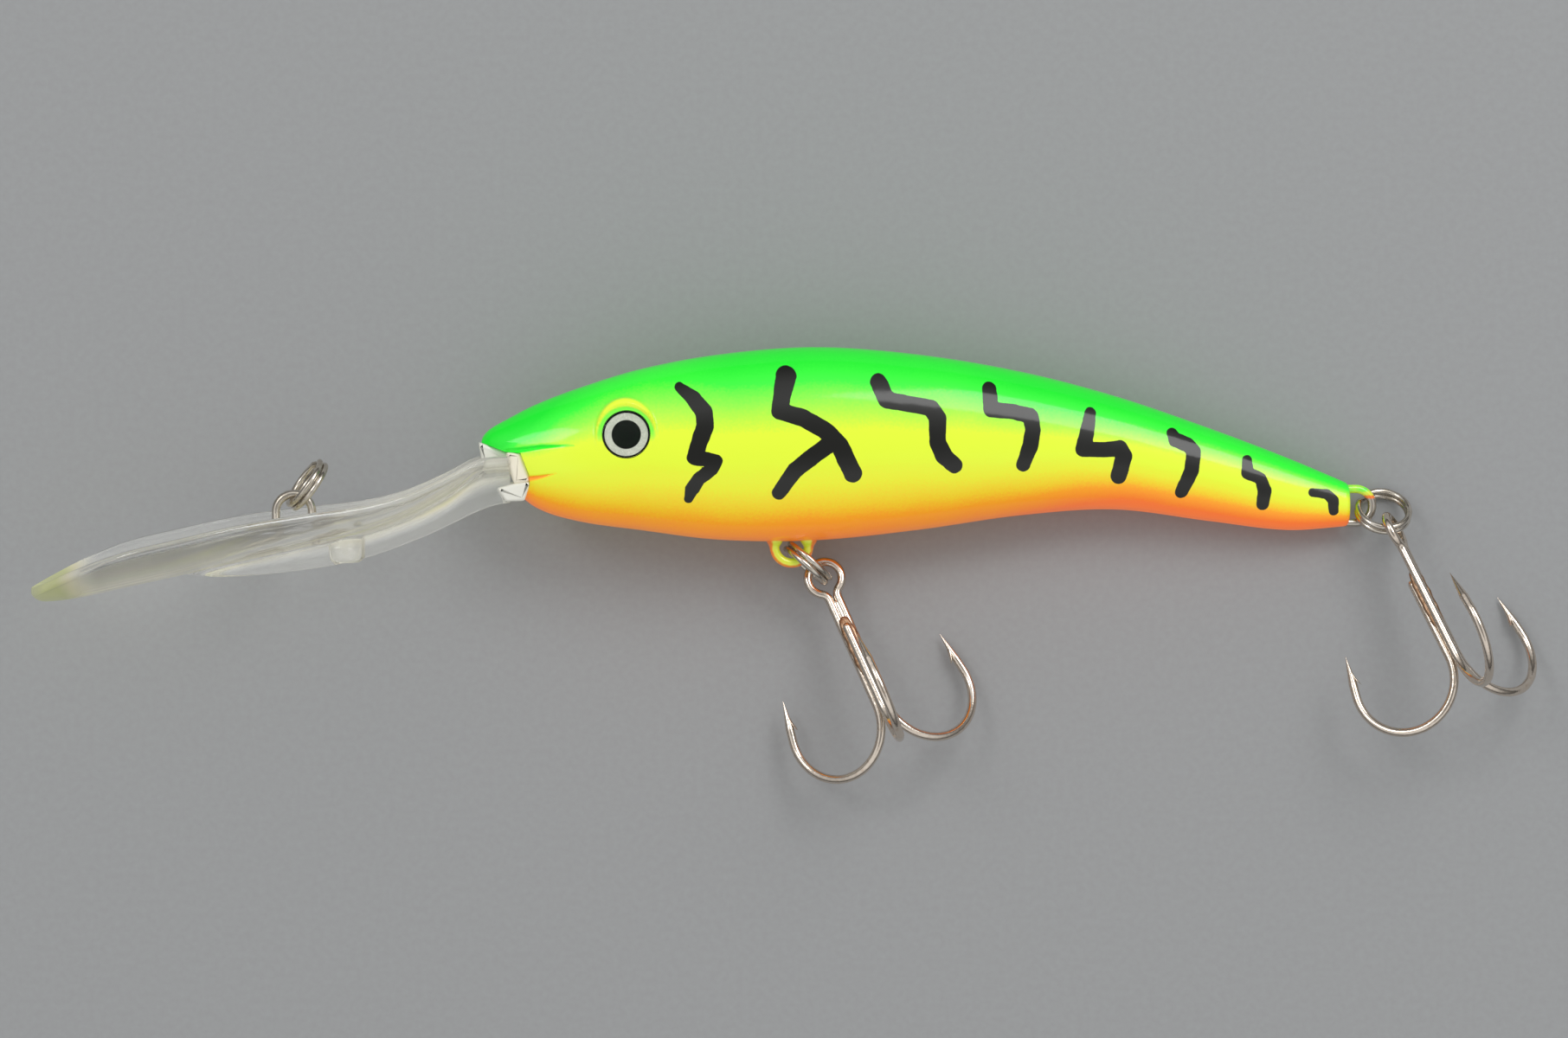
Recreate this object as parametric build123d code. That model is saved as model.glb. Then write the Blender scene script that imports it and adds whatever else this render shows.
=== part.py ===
"""Deep-diving crankbait lure: hollow two-shell body, clear lip, split rings and treble hooks.

The lure is drawn swimming to -X with its back to +Y and its left flank to +Z, measured from
the nose in millimetres, and then laid down on its right flank, so that in the finished frame
the floor is z = 0. The shells, the lip, the wires bedded in them and the ballast are one body.
Each ring and each treble hangs from its wire, and each rattle ball rolls in a cell of its own.
"""

import os
from math import atan2, cos, degrees, radians, sin, sqrt

from build123d import *

# ---- body -----------------------------------------------------------------------------
body_length = 109.9
body_height = 24.4
body_width = 15.2
wall = 1.3
fit_gap = 0.05  # between pieces that are bonded or trapped, all round
# Rows of the body's form: place along the length, centre line height, half height and
# half width, as shares of body_length, body_height / 2 and body_width / 2.
BODY_FORM = (
    (0.000, 0.070, 0.055, 0.10),
    (0.010, 0.050, 0.165, 0.24),
    (0.030, -0.010, 0.330, 0.40),
    (0.062, -0.062, 0.530, 0.57),
    (0.110, -0.049, 0.685, 0.76),
    (0.182, 0.004, 0.832, 0.91),
    (0.273, 0.031, 0.959, 0.985),
    (0.382, 0.066, 1.000, 1.00),
    (0.500, 0.082, 0.910, 0.95),
    (0.619, 0.070, 0.746, 0.83),
    (0.728, -0.025, 0.590, 0.68),
    (0.837, -0.250, 0.484, 0.53),
    (0.928, -0.451, 0.377, 0.41),
    (1.000, -0.566, 0.221, 0.28),
)
cavity_front = 16.0
cavity_rear = 97.0
rib_thickness = 1.2

# ---- register pins between the shells -------------------------------------------------
pin_radius = 0.8
pin_length = 1.6
boss_radius = 1.7
PIN_PLACES = ((19.0, 7.0), (44.5, 9.8), (82.0, 1.6), (91.0, -6.6))
lip_pin_x = 9.6

# ---- moulded face ---------------------------------------------------------------------
relief = 0.3
eye_x = 17.9
eye_y = 2.3
eye_radius = 3.0
eye_pitch = 12.0
eye_yaw = 6.0
eye_recess = 0.75
foil_thickness = 0.25
dome_height = 1.05
brow_reach = 3.9
brow_height = 4.8
crease_width = 0.7

# ---- lip ------------------------------------------------------------------------------
# Rows along the lip: distance ahead of the nose, height of the blade's trough, depth of the
# cup, half width and thickness in the middle.
LIP_FORM = (
    (-3.6, -0.6, 0.05, 3.0, 3.1),
    (0.5, -1.4, 0.35, 3.3, 2.9),
    (4.8, -4.35, 1.1, 3.9, 2.7),
    (9.5, -6.6, 1.3, 4.7, 2.6),
    (15.0, -8.2, 1.5, 6.1, 2.7),
    (22.0, -9.5, 1.9, 8.3, 2.8),
    (30.0, -11.1, 2.3, 10.9, 2.9),
    (38.0, -12.95, 2.4, 12.4, 2.9),
    (45.0, -14.6, 2.3, 12.0, 2.8),
    (50.5, -16.1, 1.6, 9.5, 2.5),
    (54.2, -17.0, 0.7, 6.0, 2.0),
    (56.2, -17.5, 0.2, 2.6, 1.4),
)
rim_thickness = 1.2
keel_width = 2.2
boss_x = -16.9
lip_boss_radius = 2.5
root_half_width = 3.4
tang_depth = 6.4
tang_height = 2.6
tang_half_width = 2.0
# Side view of the notch in the head: under the nose, down the slanted face and the throat.
NOTCH = ((2.95, -0.11), (4.8, -0.22), (5.9, -2.95), (6.0, -4.26), (5.35, -6.3))

# ---- wires ----------------------------------------------------------------------------
tie_wire = 1.07
tie_x = -23.45
tie_crown_y = -5.55
tie_half_width = 2.26
tie_foot = 3.5
hanger_wire = 1.24
hanger_x = 39.1
hanger_drop = 2.75  # body's belly line to the loop's wire centre
hanger_half_width = 2.15
tail_wire = 1.1
tail_reach = 3.0  # tail face to the loop's wire centre
tail_half_height = 2.15
tail_foot = 3.0  # beyond foot_depth
toe_bend = 0.6
foot_length = 2.0
foot_depth = 3.4
wire_bend = 0.9  # inside a bend, to the wire's centre
crown_ease = 0.05  # straight left between the two bends of a loop
wire_bed = 0.02  # room of the moulded-in wire, all round

# ---- split rings ----------------------------------------------------------------------
ring_radius = 3.25  # to the wire's centre
ring_wire = 0.78
ring_pitch = 0.82

# ---- treble hooks ---------------------------------------------------------------------
hook_wire = 1.12
braze_film = 0.06
hook_eye_radius = 2.15
eye_flare_radius = 1.3
shank_length = 17.7
bend_radius = 6.5
leg_length = 5.3
leg_lean = 11.0
point_length = 3.6
barb_length = 1.5
barb_height = 0.85
single_start = 7.2
braze_start = 5.6
braze_length = 8.5
braze_radius = 1.0

# ---- ballast and rattle ---------------------------------------------------------------
ballast_radius = 2.6
ballast_length = 13.0
ballast_x = 19.5
ballast_clearance = 1.93  # slug to the body's belly line
ball_radius = 2.3
ball_gap = 0.15
ball_travel = 2.6
cell_x = 50.0
cell_y = 2.2
cell_wall = 0.9

# ---- how the lure lies ----------------------------------------------------------------
lie_roll = 3.2  # belly down
lie_yaw = 3.97  # head up, because the lip is wider than the body
# Where on the round part of its wire each ring hangs, in degrees.
RING_SEATS = {"line_tie": 66.0, "belly": -47.0, "tail": -6.5}
# Bearing and climb of each ring's axis, where in the ring its wire runs, and the play there.
RING_TURNS = {
    "line_tie": (-36.1, -13.7, 139.7, 0.4),
    "belly": (48.8, -3.5, 62.6, 0.35),
    "tail": (83.0, 44.0, -16.0, 0.8),
}
# Where in its ring each treble's eye hangs, and how far from the ring's centre; bearing and
# climb of the shank, its roll, and where round the eye the ring passes.
TREBLE_TURNS = {
    "belly": (-113.5, 1.9, -65.9, 14.1, -3.6, 207.1),
    "tail": (126.1, 1.45, -64.9, 17.9, 105.9, 202.1),
}


def wire_round(path, radius):
    """A round wire along a path."""
    return sweep(Plane(path @ 0, z_dir=path % 0) * Circle(radius), path=path)


# ---- body form ------------------------------------------------------------------------
def form_at(rows, x):
    """Row of a form table at x, on a smooth curve through its rows."""
    last = len(rows) - 2
    k = max(i for i in range(last + 1) if i == 0 or rows[i][0] <= x)
    before, a, b, after = (rows[min(max(j, 0), last + 1)] for j in (k - 1, k, k + 1, k + 2))
    span = b[0] - a[0]
    t = (x - a[0]) / span

    def blend(i):
        slope_a = (b[i] - before[i]) / (b[0] - before[0]) * span
        slope_b = (after[i] - a[i]) / (after[0] - a[0]) * span
        rise = b[i] - a[i]
        return a[i] + t * (
            slope_a + t * (3 * rise - 2 * slope_a - slope_b + t * (slope_a + slope_b - 2 * rise))
        )

    return tuple(blend(i) for i in range(1, len(a)))


def body_at(x):
    """Centre height, half height and half width of the body at x."""
    centre, high, wide = form_at(BODY_FORM, x / body_length)
    return centre * body_height / 2, high * body_height / 2, wide * body_width / 2


def body_loft(inset, stations):
    """The body's form, drawn in by inset, through its sections at the stations."""
    sections = []
    for x in stations:
        centre, high, wide = body_at(x)
        plane = Plane(origin=(x, centre, 0), x_dir=(0, 1, 0), z_dir=(1, 0, 0))
        sections.append(plane * Ellipse(high - inset, wide - inset))
    return loft(sections)


def form_stations():
    return [row[0] * body_length for row in BODY_FORM]


def side_prism(points, half_width):
    """A side-view outline, as thick as half_width on both sides of the middle plane."""
    return extrude(make_face(Polyline(*points, close=True)), half_width, both=True)


# ---- lip ------------------------------------------------------------------------------
def lip_section(row):
    """Cupped section of the blade: a concave top, a convex underside and round rims."""
    ahead, trough, cup, half, thick = row
    rim = min(rim_thickness, thick * 0.9)
    top, under = trough + cup, trough - thick
    low = top - rim
    # keep the underside convex at the rims
    edge_low = max(low, under + 0.1)
    plane = Plane(origin=(-ahead, 0, 0), x_dir=(0, 1, 0), z_dir=(-1, 0, 0))

    def at(y, z):
        return plane.from_local_coords((y, z, 0))

    mid = (top + edge_low) / 2
    bulge = half + (top - edge_low) / 2
    edges = [
        ThreePointArc(at(top, -half), at(trough, 0), at(top, half)),
        ThreePointArc(at(top, half), at(mid, bulge), at(edge_low, half)),
        ThreePointArc(at(edge_low, half), at(under, 0), at(edge_low, -half)),
        ThreePointArc(at(edge_low, -half), at(mid, -bulge), at(top, -half)),
    ]
    return make_face(Wire(edges))


def lip_at(x):
    """Trough height, cup, half width and thickness of the blade at x."""
    return form_at(LIP_FORM, -x)


def lip_blade():
    return loft([lip_section(row) for row in LIP_FORM])


def lip_keel():
    """Upright keel under the blade, deepest behind the boss and run out ahead of it."""
    (_, throat_y) = NOTCH[-1]
    low = [
        (NOTCH[-1][0] - 0.1, throat_y),
        (0.8, -7.2),
        (-7.0, -10.8),
        (-15.3, -13.75),
        (-24.5, -15.3),
        (-33.0, -15.9),
        (-38.5, lip_at(-38.5)[0] - lip_at(-38.5)[3] + 0.3),
    ]
    inside = [(x, lip_at(x)[0] - lip_at(x)[3] * 0.6) for x in (-38.5, -28.0, -16.0, -6.0, 1.0)]
    edge_low = Spline(*low)
    edge_in = Polyline(low[-1], *inside, (NOTCH[-2][0] - 0.4, NOTCH[-2][1]), low[0])
    return extrude(make_face(Wire([edge_low, *edge_in.edges()])), keel_width / 2, both=True)


def lip_boss():
    """Round boss under the blade that holds the foot of the line-tie wire."""
    trough, _, _, thick = lip_at(boss_x)
    low = -14.15
    top = trough - thick / 2
    boss = Pos(boss_x, (top + low) / 2, 0) * Rot(90, 0, 0) * Cylinder(lip_boss_radius, top - low)
    return fillet(boss.edges().sort_by(Axis.Y)[0], 1.2)


def lip_root():
    """Block that fills the notch in the head, with a shoulder under the nose and a tang."""
    (nose_x, nose_y), (roof_x, roof_y), (face_x, face_y), (low_x, low_y), (chin_x, chin_y) = NOTCH
    g = fit_gap
    block = side_prism(
        (
            (roof_x - 1.6, roof_y - g),
            (roof_x - g, roof_y - g),
            (face_x - g, face_y),
            (low_x - g, low_y),
            (chin_x - g, chin_y),
            (chin_x - 2.4, chin_y - 0.15),
            (roof_x - 2.0, roof_y - 2.6),
        ),
        root_half_width,
    )
    shoulder = side_prism(
        (
            (-0.3, nose_y + 0.95),
            (nose_x, nose_y - g),
            (roof_x - 1.0, roof_y - g),
            (roof_x - 1.2, roof_y - 1.2),
            (0.0, nose_y - 1.6),
        ),
        1.8,
    )
    tang = Pos(face_x + tang_depth / 2 - 0.5, face_y - 0.2, 0) * Box(
        tang_depth + 1.0, tang_height, 2 * tang_half_width
    )
    pin_hole = Pos(lip_pin_x, face_y - 0.2, 0) * Cylinder(pin_radius + fit_gap, 3 * tang_half_width)
    return block + shoulder + tang - pin_hole


def tie_path():
    """Line-tie wire: a foot each way in the blade, and the loop between them."""
    front, rear = tie_x - tie_half_width, tie_x + tie_half_width

    def bed(x):
        trough, _, _, thick = lip_at(x)
        return trough - thick / 2

    points = (
        (front - tie_foot, bed(front - tie_foot)),
        (front, bed(front)),
        (front, tie_crown_y),
        (rear, tie_crown_y),
        (rear, bed(rear)),
        (rear + tie_foot, bed(rear + tie_foot)),
    )
    crown = tie_half_width - crown_ease
    return FilletPolyline(*points, radius=[wire_bend, crown, crown, wire_bend])


def hanger_centre():
    """Centre of the belly hanger's round bottom."""
    centre, high, _ = body_at(hanger_x)
    return hanger_x, centre - high - hanger_drop + hanger_half_width


def hanger_path():
    """Belly hanger: two feet bent apart inside the body and a round loop under it."""
    x, y = hanger_centre()
    half = hanger_half_width
    top = y + foot_depth + wire_bend
    low = y - half
    points = (
        (x - half - foot_length, top),
        (x - half, top),
        (x - half, low),
        (x + half, low),
        (x + half, top),
        (x + half + foot_length, top),
    )
    crown = half - crown_ease
    return FilletPolyline(*points, radius=[wire_bend, crown, crown, wire_bend])


def tail_centre():
    """Centre of the tail hanger's round end."""
    centre, _, _ = body_at(body_length)
    return body_length + tail_reach - tail_half_height, centre - 0.12


def tail_path():
    """Tail hanger: two legs with feet bent towards each other, and a round loop behind."""
    x, y = tail_centre()
    half = tail_half_height
    inside = body_length - foot_depth - tail_foot
    toe = half - wire_bend
    points = (
        (inside, y + half - toe),
        (inside, y + half),
        (x + half, y + half),
        (x + half, y - half),
        (inside, y - half),
        (inside, y - half + toe),
    )
    crown = half - crown_ease
    return FilletPolyline(*points, radius=[toe_bend, crown, crown, toe_bend])


# ---- shells ---------------------------------------------------------------------------
def rib(x, thickness=rib_thickness):
    return Pos(x, 0, 0) * Box(thickness, 3 * body_height, 3 * body_width)


def cell_pitch():
    return 2 * (ball_radius + ball_gap) + ball_travel + rib_thickness


def cell_centres():
    return [cell_x + (i + 0.5) * cell_pitch() for i in range(3)]


def cavity():
    """Hollow of the body, less what stands in it."""
    between = [x for x in form_stations() if cavity_front < x < cavity_rear]
    hollow = body_loft(wall, [cavity_front, *between, cavity_rear])
    # seats of the ballast
    hollow -= rib(ballast_x - 0.4, 2.4) + rib(ballast_x + ballast_length + 0.4, 2.4)
    # block round the belly hanger's feet
    x, y = hanger_centre()
    low = y - body_height
    top = y + foot_depth + wire_bend + hanger_wire
    reach = hanger_half_width + foot_length + hanger_wire
    hollow -= Pos(x, (low + top) / 2, 0) * Box(2 * reach, top - low, 2 * body_width)
    # rattle tube and the ribs that close its cells
    length = 3 * cell_pitch()
    tube = Cylinder(ball_radius + ball_gap + cell_wall, length)
    hollow -= Pos(cell_x + length / 2, cell_y, 0) * Rot(0, 90, 0) * tube
    for i in range(4):
        hollow -= rib(cell_x + i * cell_pitch())
    # bosses of the register pins
    for px, py in PIN_PLACES:
        hollow -= Pos(px, py, 0) * Cylinder(boss_radius, 3 * body_width)
    return hollow


def grooves():
    """Two lines of the mouth, pressed into both flanks."""
    roof_x, roof_y = NOTCH[1]
    face_x, face_y = NOTCH[2]
    upper = ((roof_x - 0.5, roof_y), (roof_x + 5.0, roof_y + 0.35), (roof_x + 10.0, roof_y + 0.5))
    lower = ((face_x - 0.5, face_y - 0.6), (face_x + 2.0, face_y - 0.35), (face_x + 3.8, face_y))
    cut = None
    for points in (upper, lower):
        back = [(x, y + crease_width * share) for (x, y), share in zip(points, (0.5, 0.35, 0.02))]
        front = [(x, y - crease_width * share) for (x, y), share in zip(points, (0.5, 0.35, 0.02))]
        prism = side_prism((*back, *reversed(front)), body_width)
        cut = prism if cut is None else cut + prism
    stations = [x for x in form_stations() if x < 0.3 * body_length]
    return cut - body_loft(relief, stations)


def brows():
    """Raised crescent over each eye."""
    outer = Pos(eye_x, eye_y, 0) * extrude(Ellipse(brow_reach, brow_height), body_width, both=True)
    lower = Pos(eye_x, eye_y - 0.5, 0) * extrude(
        Ellipse(brow_reach + 0.15, eye_radius + 1.0), body_width, both=True
    )
    half = Pos(eye_x, eye_y - body_height / 2, 0) * Box(4 * brow_reach, body_height, 3 * body_width)
    crescent = outer - lower - half
    stations = [x for x in form_stations() if 0.02 * body_length < x < 0.4 * body_length]
    return crescent & body_loft(-relief, stations)


def eye_plane(side, depth=0.0):
    """Plane of an eye's recess, depth below the flank; side is 1 for left, -1 for right."""
    centre, high, wide = body_at(eye_x)
    flank = wide * sqrt(1 - ((eye_y - centre) / high) ** 2)
    pitch, yaw = radians(eye_pitch), radians(eye_yaw)
    out = Vector(-sin(yaw), sin(pitch), side * cos(yaw) * cos(pitch)).normalized()
    seat = Vector(eye_x, eye_y, side * flank) - out * depth
    return Plane(origin=seat, x_dir=(1, 0, 0), z_dir=out)


def eye_foil(side):
    floor = eye_plane(side, eye_recess)
    return floor * Cylinder(
        eye_radius, foil_thickness, align=(Align.CENTER, Align.CENTER, Align.MIN)
    )


def eye_dome(side):
    """Lens on the printed disc: a cylinder edge under a spherical cap."""
    floor = eye_plane(side, eye_recess - foil_thickness)
    edge = dome_height / 3
    rise = dome_height - edge
    ball = (eye_radius**2 + rise**2) / (2 * rise)
    disc = Cylinder(eye_radius, dome_height, align=(Align.CENTER, Align.CENTER, Align.MIN))
    return floor * (disc & Pos(0, 0, dome_height - ball) * Sphere(ball))


def register_pins(radius, length):
    """Pins from the left shell, pointing to the right one."""
    lip_y = NOTCH[2][1] - 0.2
    pins = None
    for x, y in PIN_PLACES:
        pin = Pos(x, y, -length) * Cylinder(
            radius, length + 0.4, align=(Align.CENTER, Align.CENTER, Align.MIN)
        )
        pins = pin if pins is None else pins + pin
    through = tang_half_width + pin_length
    reach = through + (length - pin_length)
    return pins + Pos(lip_pin_x, lip_y, -reach) * Cylinder(
        radius, reach + through, align=(Align.CENTER, Align.CENTER, Align.MIN)
    )


def body_solid():
    """Both shells in one, before they are parted."""
    solid = body_loft(0, form_stations()) + brows()
    solid -= cavity()
    solid -= grooves()
    # notch for the lip and the socket for its tang
    ahead = (-6.0, NOTCH[0][1] + 3.3)
    below = (-6.0, -body_height)
    chin = (NOTCH[-1][0] - 1.0, -body_height)
    solid -= side_prism((ahead, *NOTCH, chin, below), body_width)
    face_x, face_y = NOTCH[2]
    solid -= Pos(face_x + (tang_depth + fit_gap - 1.0) / 2, face_y - 0.2, 0) * Box(
        tang_depth + fit_gap + 1.0, tang_height + 2 * fit_gap, 2 * (tang_half_width + fit_gap)
    )
    # eyes
    for side in (1, -1):
        recess = Cylinder(
            eye_radius + fit_gap, 3.0, align=(Align.CENTER, Align.CENTER, Align.MIN)
        )
        solid -= eye_plane(side, eye_recess) * recess
    # beds of the wires
    solid -= wire_round(hanger_path(), hanger_wire / 2 + fit_gap)
    solid -= wire_round(tail_path(), tail_wire / 2 + fit_gap)
    # seats of the ballast and cells of the balls
    slug = Cylinder(ballast_radius + fit_gap, ballast_length + 2 * fit_gap)
    solid -= Pos(ballast_x + ballast_length / 2, ballast_y(), 0) * Rot(0, 90, 0) * slug
    for x in cell_centres():
        cell = Cylinder(ball_radius + ball_gap, cell_pitch() - rib_thickness)
        solid -= Pos(x, cell_y, 0) * Rot(0, 90, 0) * cell
    return solid


def ballast_y():
    """Height of the slug's axis: it lies along the belly, below the eye and the tang."""
    centre, high, _ = body_at(ballast_x + ballast_length / 2)
    return centre - high + ballast_clearance + ballast_radius


def shells():
    solid = body_solid()
    size = 3 * body_length
    left_half = Pos(body_length / 2, 0, size / 2) * Box(size, size, size)
    right_half = Pos(body_length / 2, 0, -size / 2) * Box(size, size, size)
    left = (solid & left_half) + register_pins(pin_radius, pin_length)
    right = (solid & right_half) - register_pins(pin_radius + fit_gap, pin_length + 0.2)
    return left, right


# ---- split ring -----------------------------------------------------------------------
def split_ring():
    """Two turns of wire side by side, with one step from the first turn to the second."""
    flat, step = 316.0, 34.0
    low, high = -ring_pitch / 2, ring_pitch / 2

    def on_ring(angle, z):
        return Vector(ring_radius * cos(radians(angle)), ring_radius * sin(radians(angle)), z)

    def along(angle):
        return Vector(-sin(radians(angle)), cos(radians(angle)), 0)

    first = ThreePointArc(on_ring(0, low), on_ring(flat / 2, low), on_ring(flat, low))
    jog = Spline(
        on_ring(flat, low),
        on_ring(flat + step / 2, 0),
        on_ring(flat + step, high),
        tangents=[along(flat), along(flat + step)],
    )
    second = ThreePointArc(
        on_ring(flat + step, high),
        on_ring(1.5 * flat + step, high),
        on_ring(2 * flat + step, high),
    )
    path = Wire([*first.edges(), *jog.edges(), *second.edges()])
    return sweep(Plane(on_ring(0, low), z_dir=along(0)) * Circle(ring_wire / 2), path=path)


# ---- treble hook ----------------------------------------------------------------------
def shank_offset():
    """Half the distance between the two shanks of the double hook."""
    return (hook_wire + braze_film) / 2


def hook_plane(angle, offset_y, offset_z):
    """Plane of one hook: X along the shank, Y out to the point."""
    out = Vector(0, cos(radians(angle)), sin(radians(angle)))
    return Plane(origin=(0, offset_y, offset_z), x_dir=(1, 0, 0), z_dir=Vector(1, 0, 0).cross(out))


def hook_curve(plane):
    """Bend and leg of a hook, from the end of the shank to the start of the point's cone."""
    arc = CenterArc((shank_length, bend_radius), bend_radius, -90, 180 + leg_lean)
    lean = radians(leg_lean)
    end = arc @ 1
    leg = Line(end, end + Vector(-cos(lean), -sin(lean)) * (leg_length - point_length))
    return plane * arc, plane * leg


def hook_point(plane):
    """Cone and barb at the end of a hook's leg."""
    _, leg = hook_curve(plane)
    start, way = leg @ 1, leg % 1
    inward = (way.cross(plane.z_dir)).normalized()
    if inward.dot(plane.y_dir) > 0:
        inward = inward * -1
    radius = hook_wire / 2
    cone = Plane(origin=start - way * 0.02, z_dir=way) * Cone(
        radius, 0.04, point_length, align=(Align.CENTER, Align.CENTER, Align.MIN)
    )
    side = Plane(origin=start, x_dir=way, z_dir=way.cross(inward))
    sliver = make_face(
        Polyline(
            (point_length * 0.35, radius * 0.3),
            (-barb_length * 0.35, radius + barb_height * 0.75),
            (-barb_length * 0.55, radius + barb_height * 0.7),
            (-barb_length * 0.2, radius * 0.5),
            close=True,
        )
    )
    return cone + side * extrude(sliver, hook_wire * 0.28, both=True)


def double_hook():
    """One wire from point to point: leg, bend, shank, eye, shank, bend and leg."""
    half = shank_offset()
    flare = hook_eye_radius + eye_flare_radius
    flare_x = sqrt(flare**2 - (half + eye_flare_radius) ** 2)
    turn = degrees(atan2(half + eye_flare_radius, flare_x))
    left, right = hook_plane(-30, half, 0), hook_plane(210, -half, 0)
    bend_l, leg_l = hook_curve(left)
    bend_r, leg_r = hook_curve(right)
    eye = CenterArc((0, 0), hook_eye_radius, turn, 360 - 2 * turn)
    flare_l = CenterArc((flare_x, half + eye_flare_radius), eye_flare_radius, 180 + turn, 90 - turn)
    flare_r = CenterArc((flare_x, -half - eye_flare_radius), eye_flare_radius, 90, 90 - turn)
    shank_l = Line((flare_x, half), (shank_length, half))
    shank_r = Line((flare_x, -half), (shank_length, -half))
    pieces = (leg_l, bend_l, shank_l, flare_l, eye, flare_r, shank_r, bend_r, leg_r)
    path = Wire([edge for piece in pieces for edge in piece.edges()])
    start, way = leg_l @ 1, leg_l % 1
    wire = sweep(Plane(origin=start, z_dir=way) * Circle(hook_wire / 2), path=path)
    return wire + hook_point(left) + hook_point(right)


def single_place():
    """Height of the single hook's shank over the double's: it lies in their groove."""
    spacing = hook_wire + braze_film
    return sqrt(spacing**2 - shank_offset() ** 2)


def single_hook():
    plane = hook_plane(90, 0, single_place())
    bend, leg = hook_curve(plane)
    shank = plane * Line((single_start, 0), (shank_length, 0))
    path = Wire([*shank.edges(), *bend.edges(), *leg.edges()])
    wire = sweep(Plane(origin=shank @ 0, z_dir=shank % 0) * Circle(hook_wire / 2), path=path)
    return wire + hook_point(plane)


def braze():
    """Brazing metal drawn into the grooves between the three shanks."""
    centre = single_place() / 3
    along = Plane(origin=(braze_start, 0, 0), x_dir=(0, 1, 0), z_dir=(1, 0, 0))
    rod = Cylinder(braze_radius, braze_length, align=(Align.CENTER, Align.CENTER, Align.MIN))
    metal = along * Pos(0, centre, 0) * rod
    for y, z in ((shank_offset(), 0), (-shank_offset(), 0), (0, single_place())):
        wire = Cylinder(hook_wire / 2, 40, align=(Align.CENTER, Align.CENTER, Align.CENTER))
        metal -= Plane(origin=(braze_start, y, z), z_dir=(1, 0, 0)) * wire
    return metal


# ---- how it lies and hangs ------------------------------------------------------------
def pointing(azimuth, elevation):
    """Unit vector by its bearing seen from above and its climb."""
    az, el = radians(azimuth), radians(elevation)
    return Vector(cos(el) * cos(az), cos(el) * sin(az), sin(el))


def laid():
    """Turn of the lure from its swimming attitude to the way it lies."""
    return Rot(0, lie_yaw, 0) * Rot(lie_roll, 0, 0)


def turned(location, vector):
    """A direction carried along by a location."""
    return (location * Pos(vector)).position - location.position


def ring_place(wire_point, azimuth, elevation, wire_angle, play, wire_size):
    """Plane of a split ring that hangs on a wire at wire_point.

    azimuth and elevation point its axis, wire_angle is where in the ring the wire runs, and
    play is the room between the two wires.
    """
    axis = pointing(azimuth, elevation)
    level = Vector(0, 0, 1).cross(axis).normalized()
    rise = axis.cross(level)
    to_wire = level * cos(radians(wire_angle)) + rise * sin(radians(wire_angle))
    inner = ring_radius - ring_wire / 2
    reach = inner - wire_size / 2 - play
    return Plane(origin=wire_point - to_wire * reach, x_dir=level, z_dir=axis)


def treble_place(ring, angle, drop, azimuth, elevation, roll, eye_angle):
    """Plane of a treble whose eye hangs in a ring, and the pivot on the ring's wire.

    angle is where in the ring its wire runs and drop how far from the ring's centre; azimuth
    and elevation point the shank, roll turns it, and eye_angle is where the ring passes.
    """
    way = Vector(cos(radians(angle)), sin(radians(angle)), 0)
    rim = ring.from_local_coords(way * drop)
    seat = ring.from_local_coords(way * ring_radius)
    along_ring = ring.z_dir.cross(rim - ring.origin).normalized()
    axis = pointing(azimuth, elevation)
    up = (Vector(0, 0, 1) - axis * axis.Z).normalized()
    across = up.cross(axis)
    y_dir = across * cos(radians(roll)) + up * sin(radians(roll))
    z_dir = up * cos(radians(roll)) - across * sin(radians(roll))
    turn = radians(eye_angle)
    to_rim = (axis * cos(turn) + y_dir * sin(turn)) * hook_eye_radius
    return Plane(origin=rim - to_rim, x_dir=axis, z_dir=z_dir), (seat, along_ring)


def arc_point(centre, radius, angle):
    """Point and tangent of a hanger's round part, in the swimming attitude."""
    turn = radians(angle)
    x, y = centre
    point = Vector(x + radius * cos(turn), y + radius * sin(turn), 0)
    return point, Vector(-sin(turn), cos(turn), 0)


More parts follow.
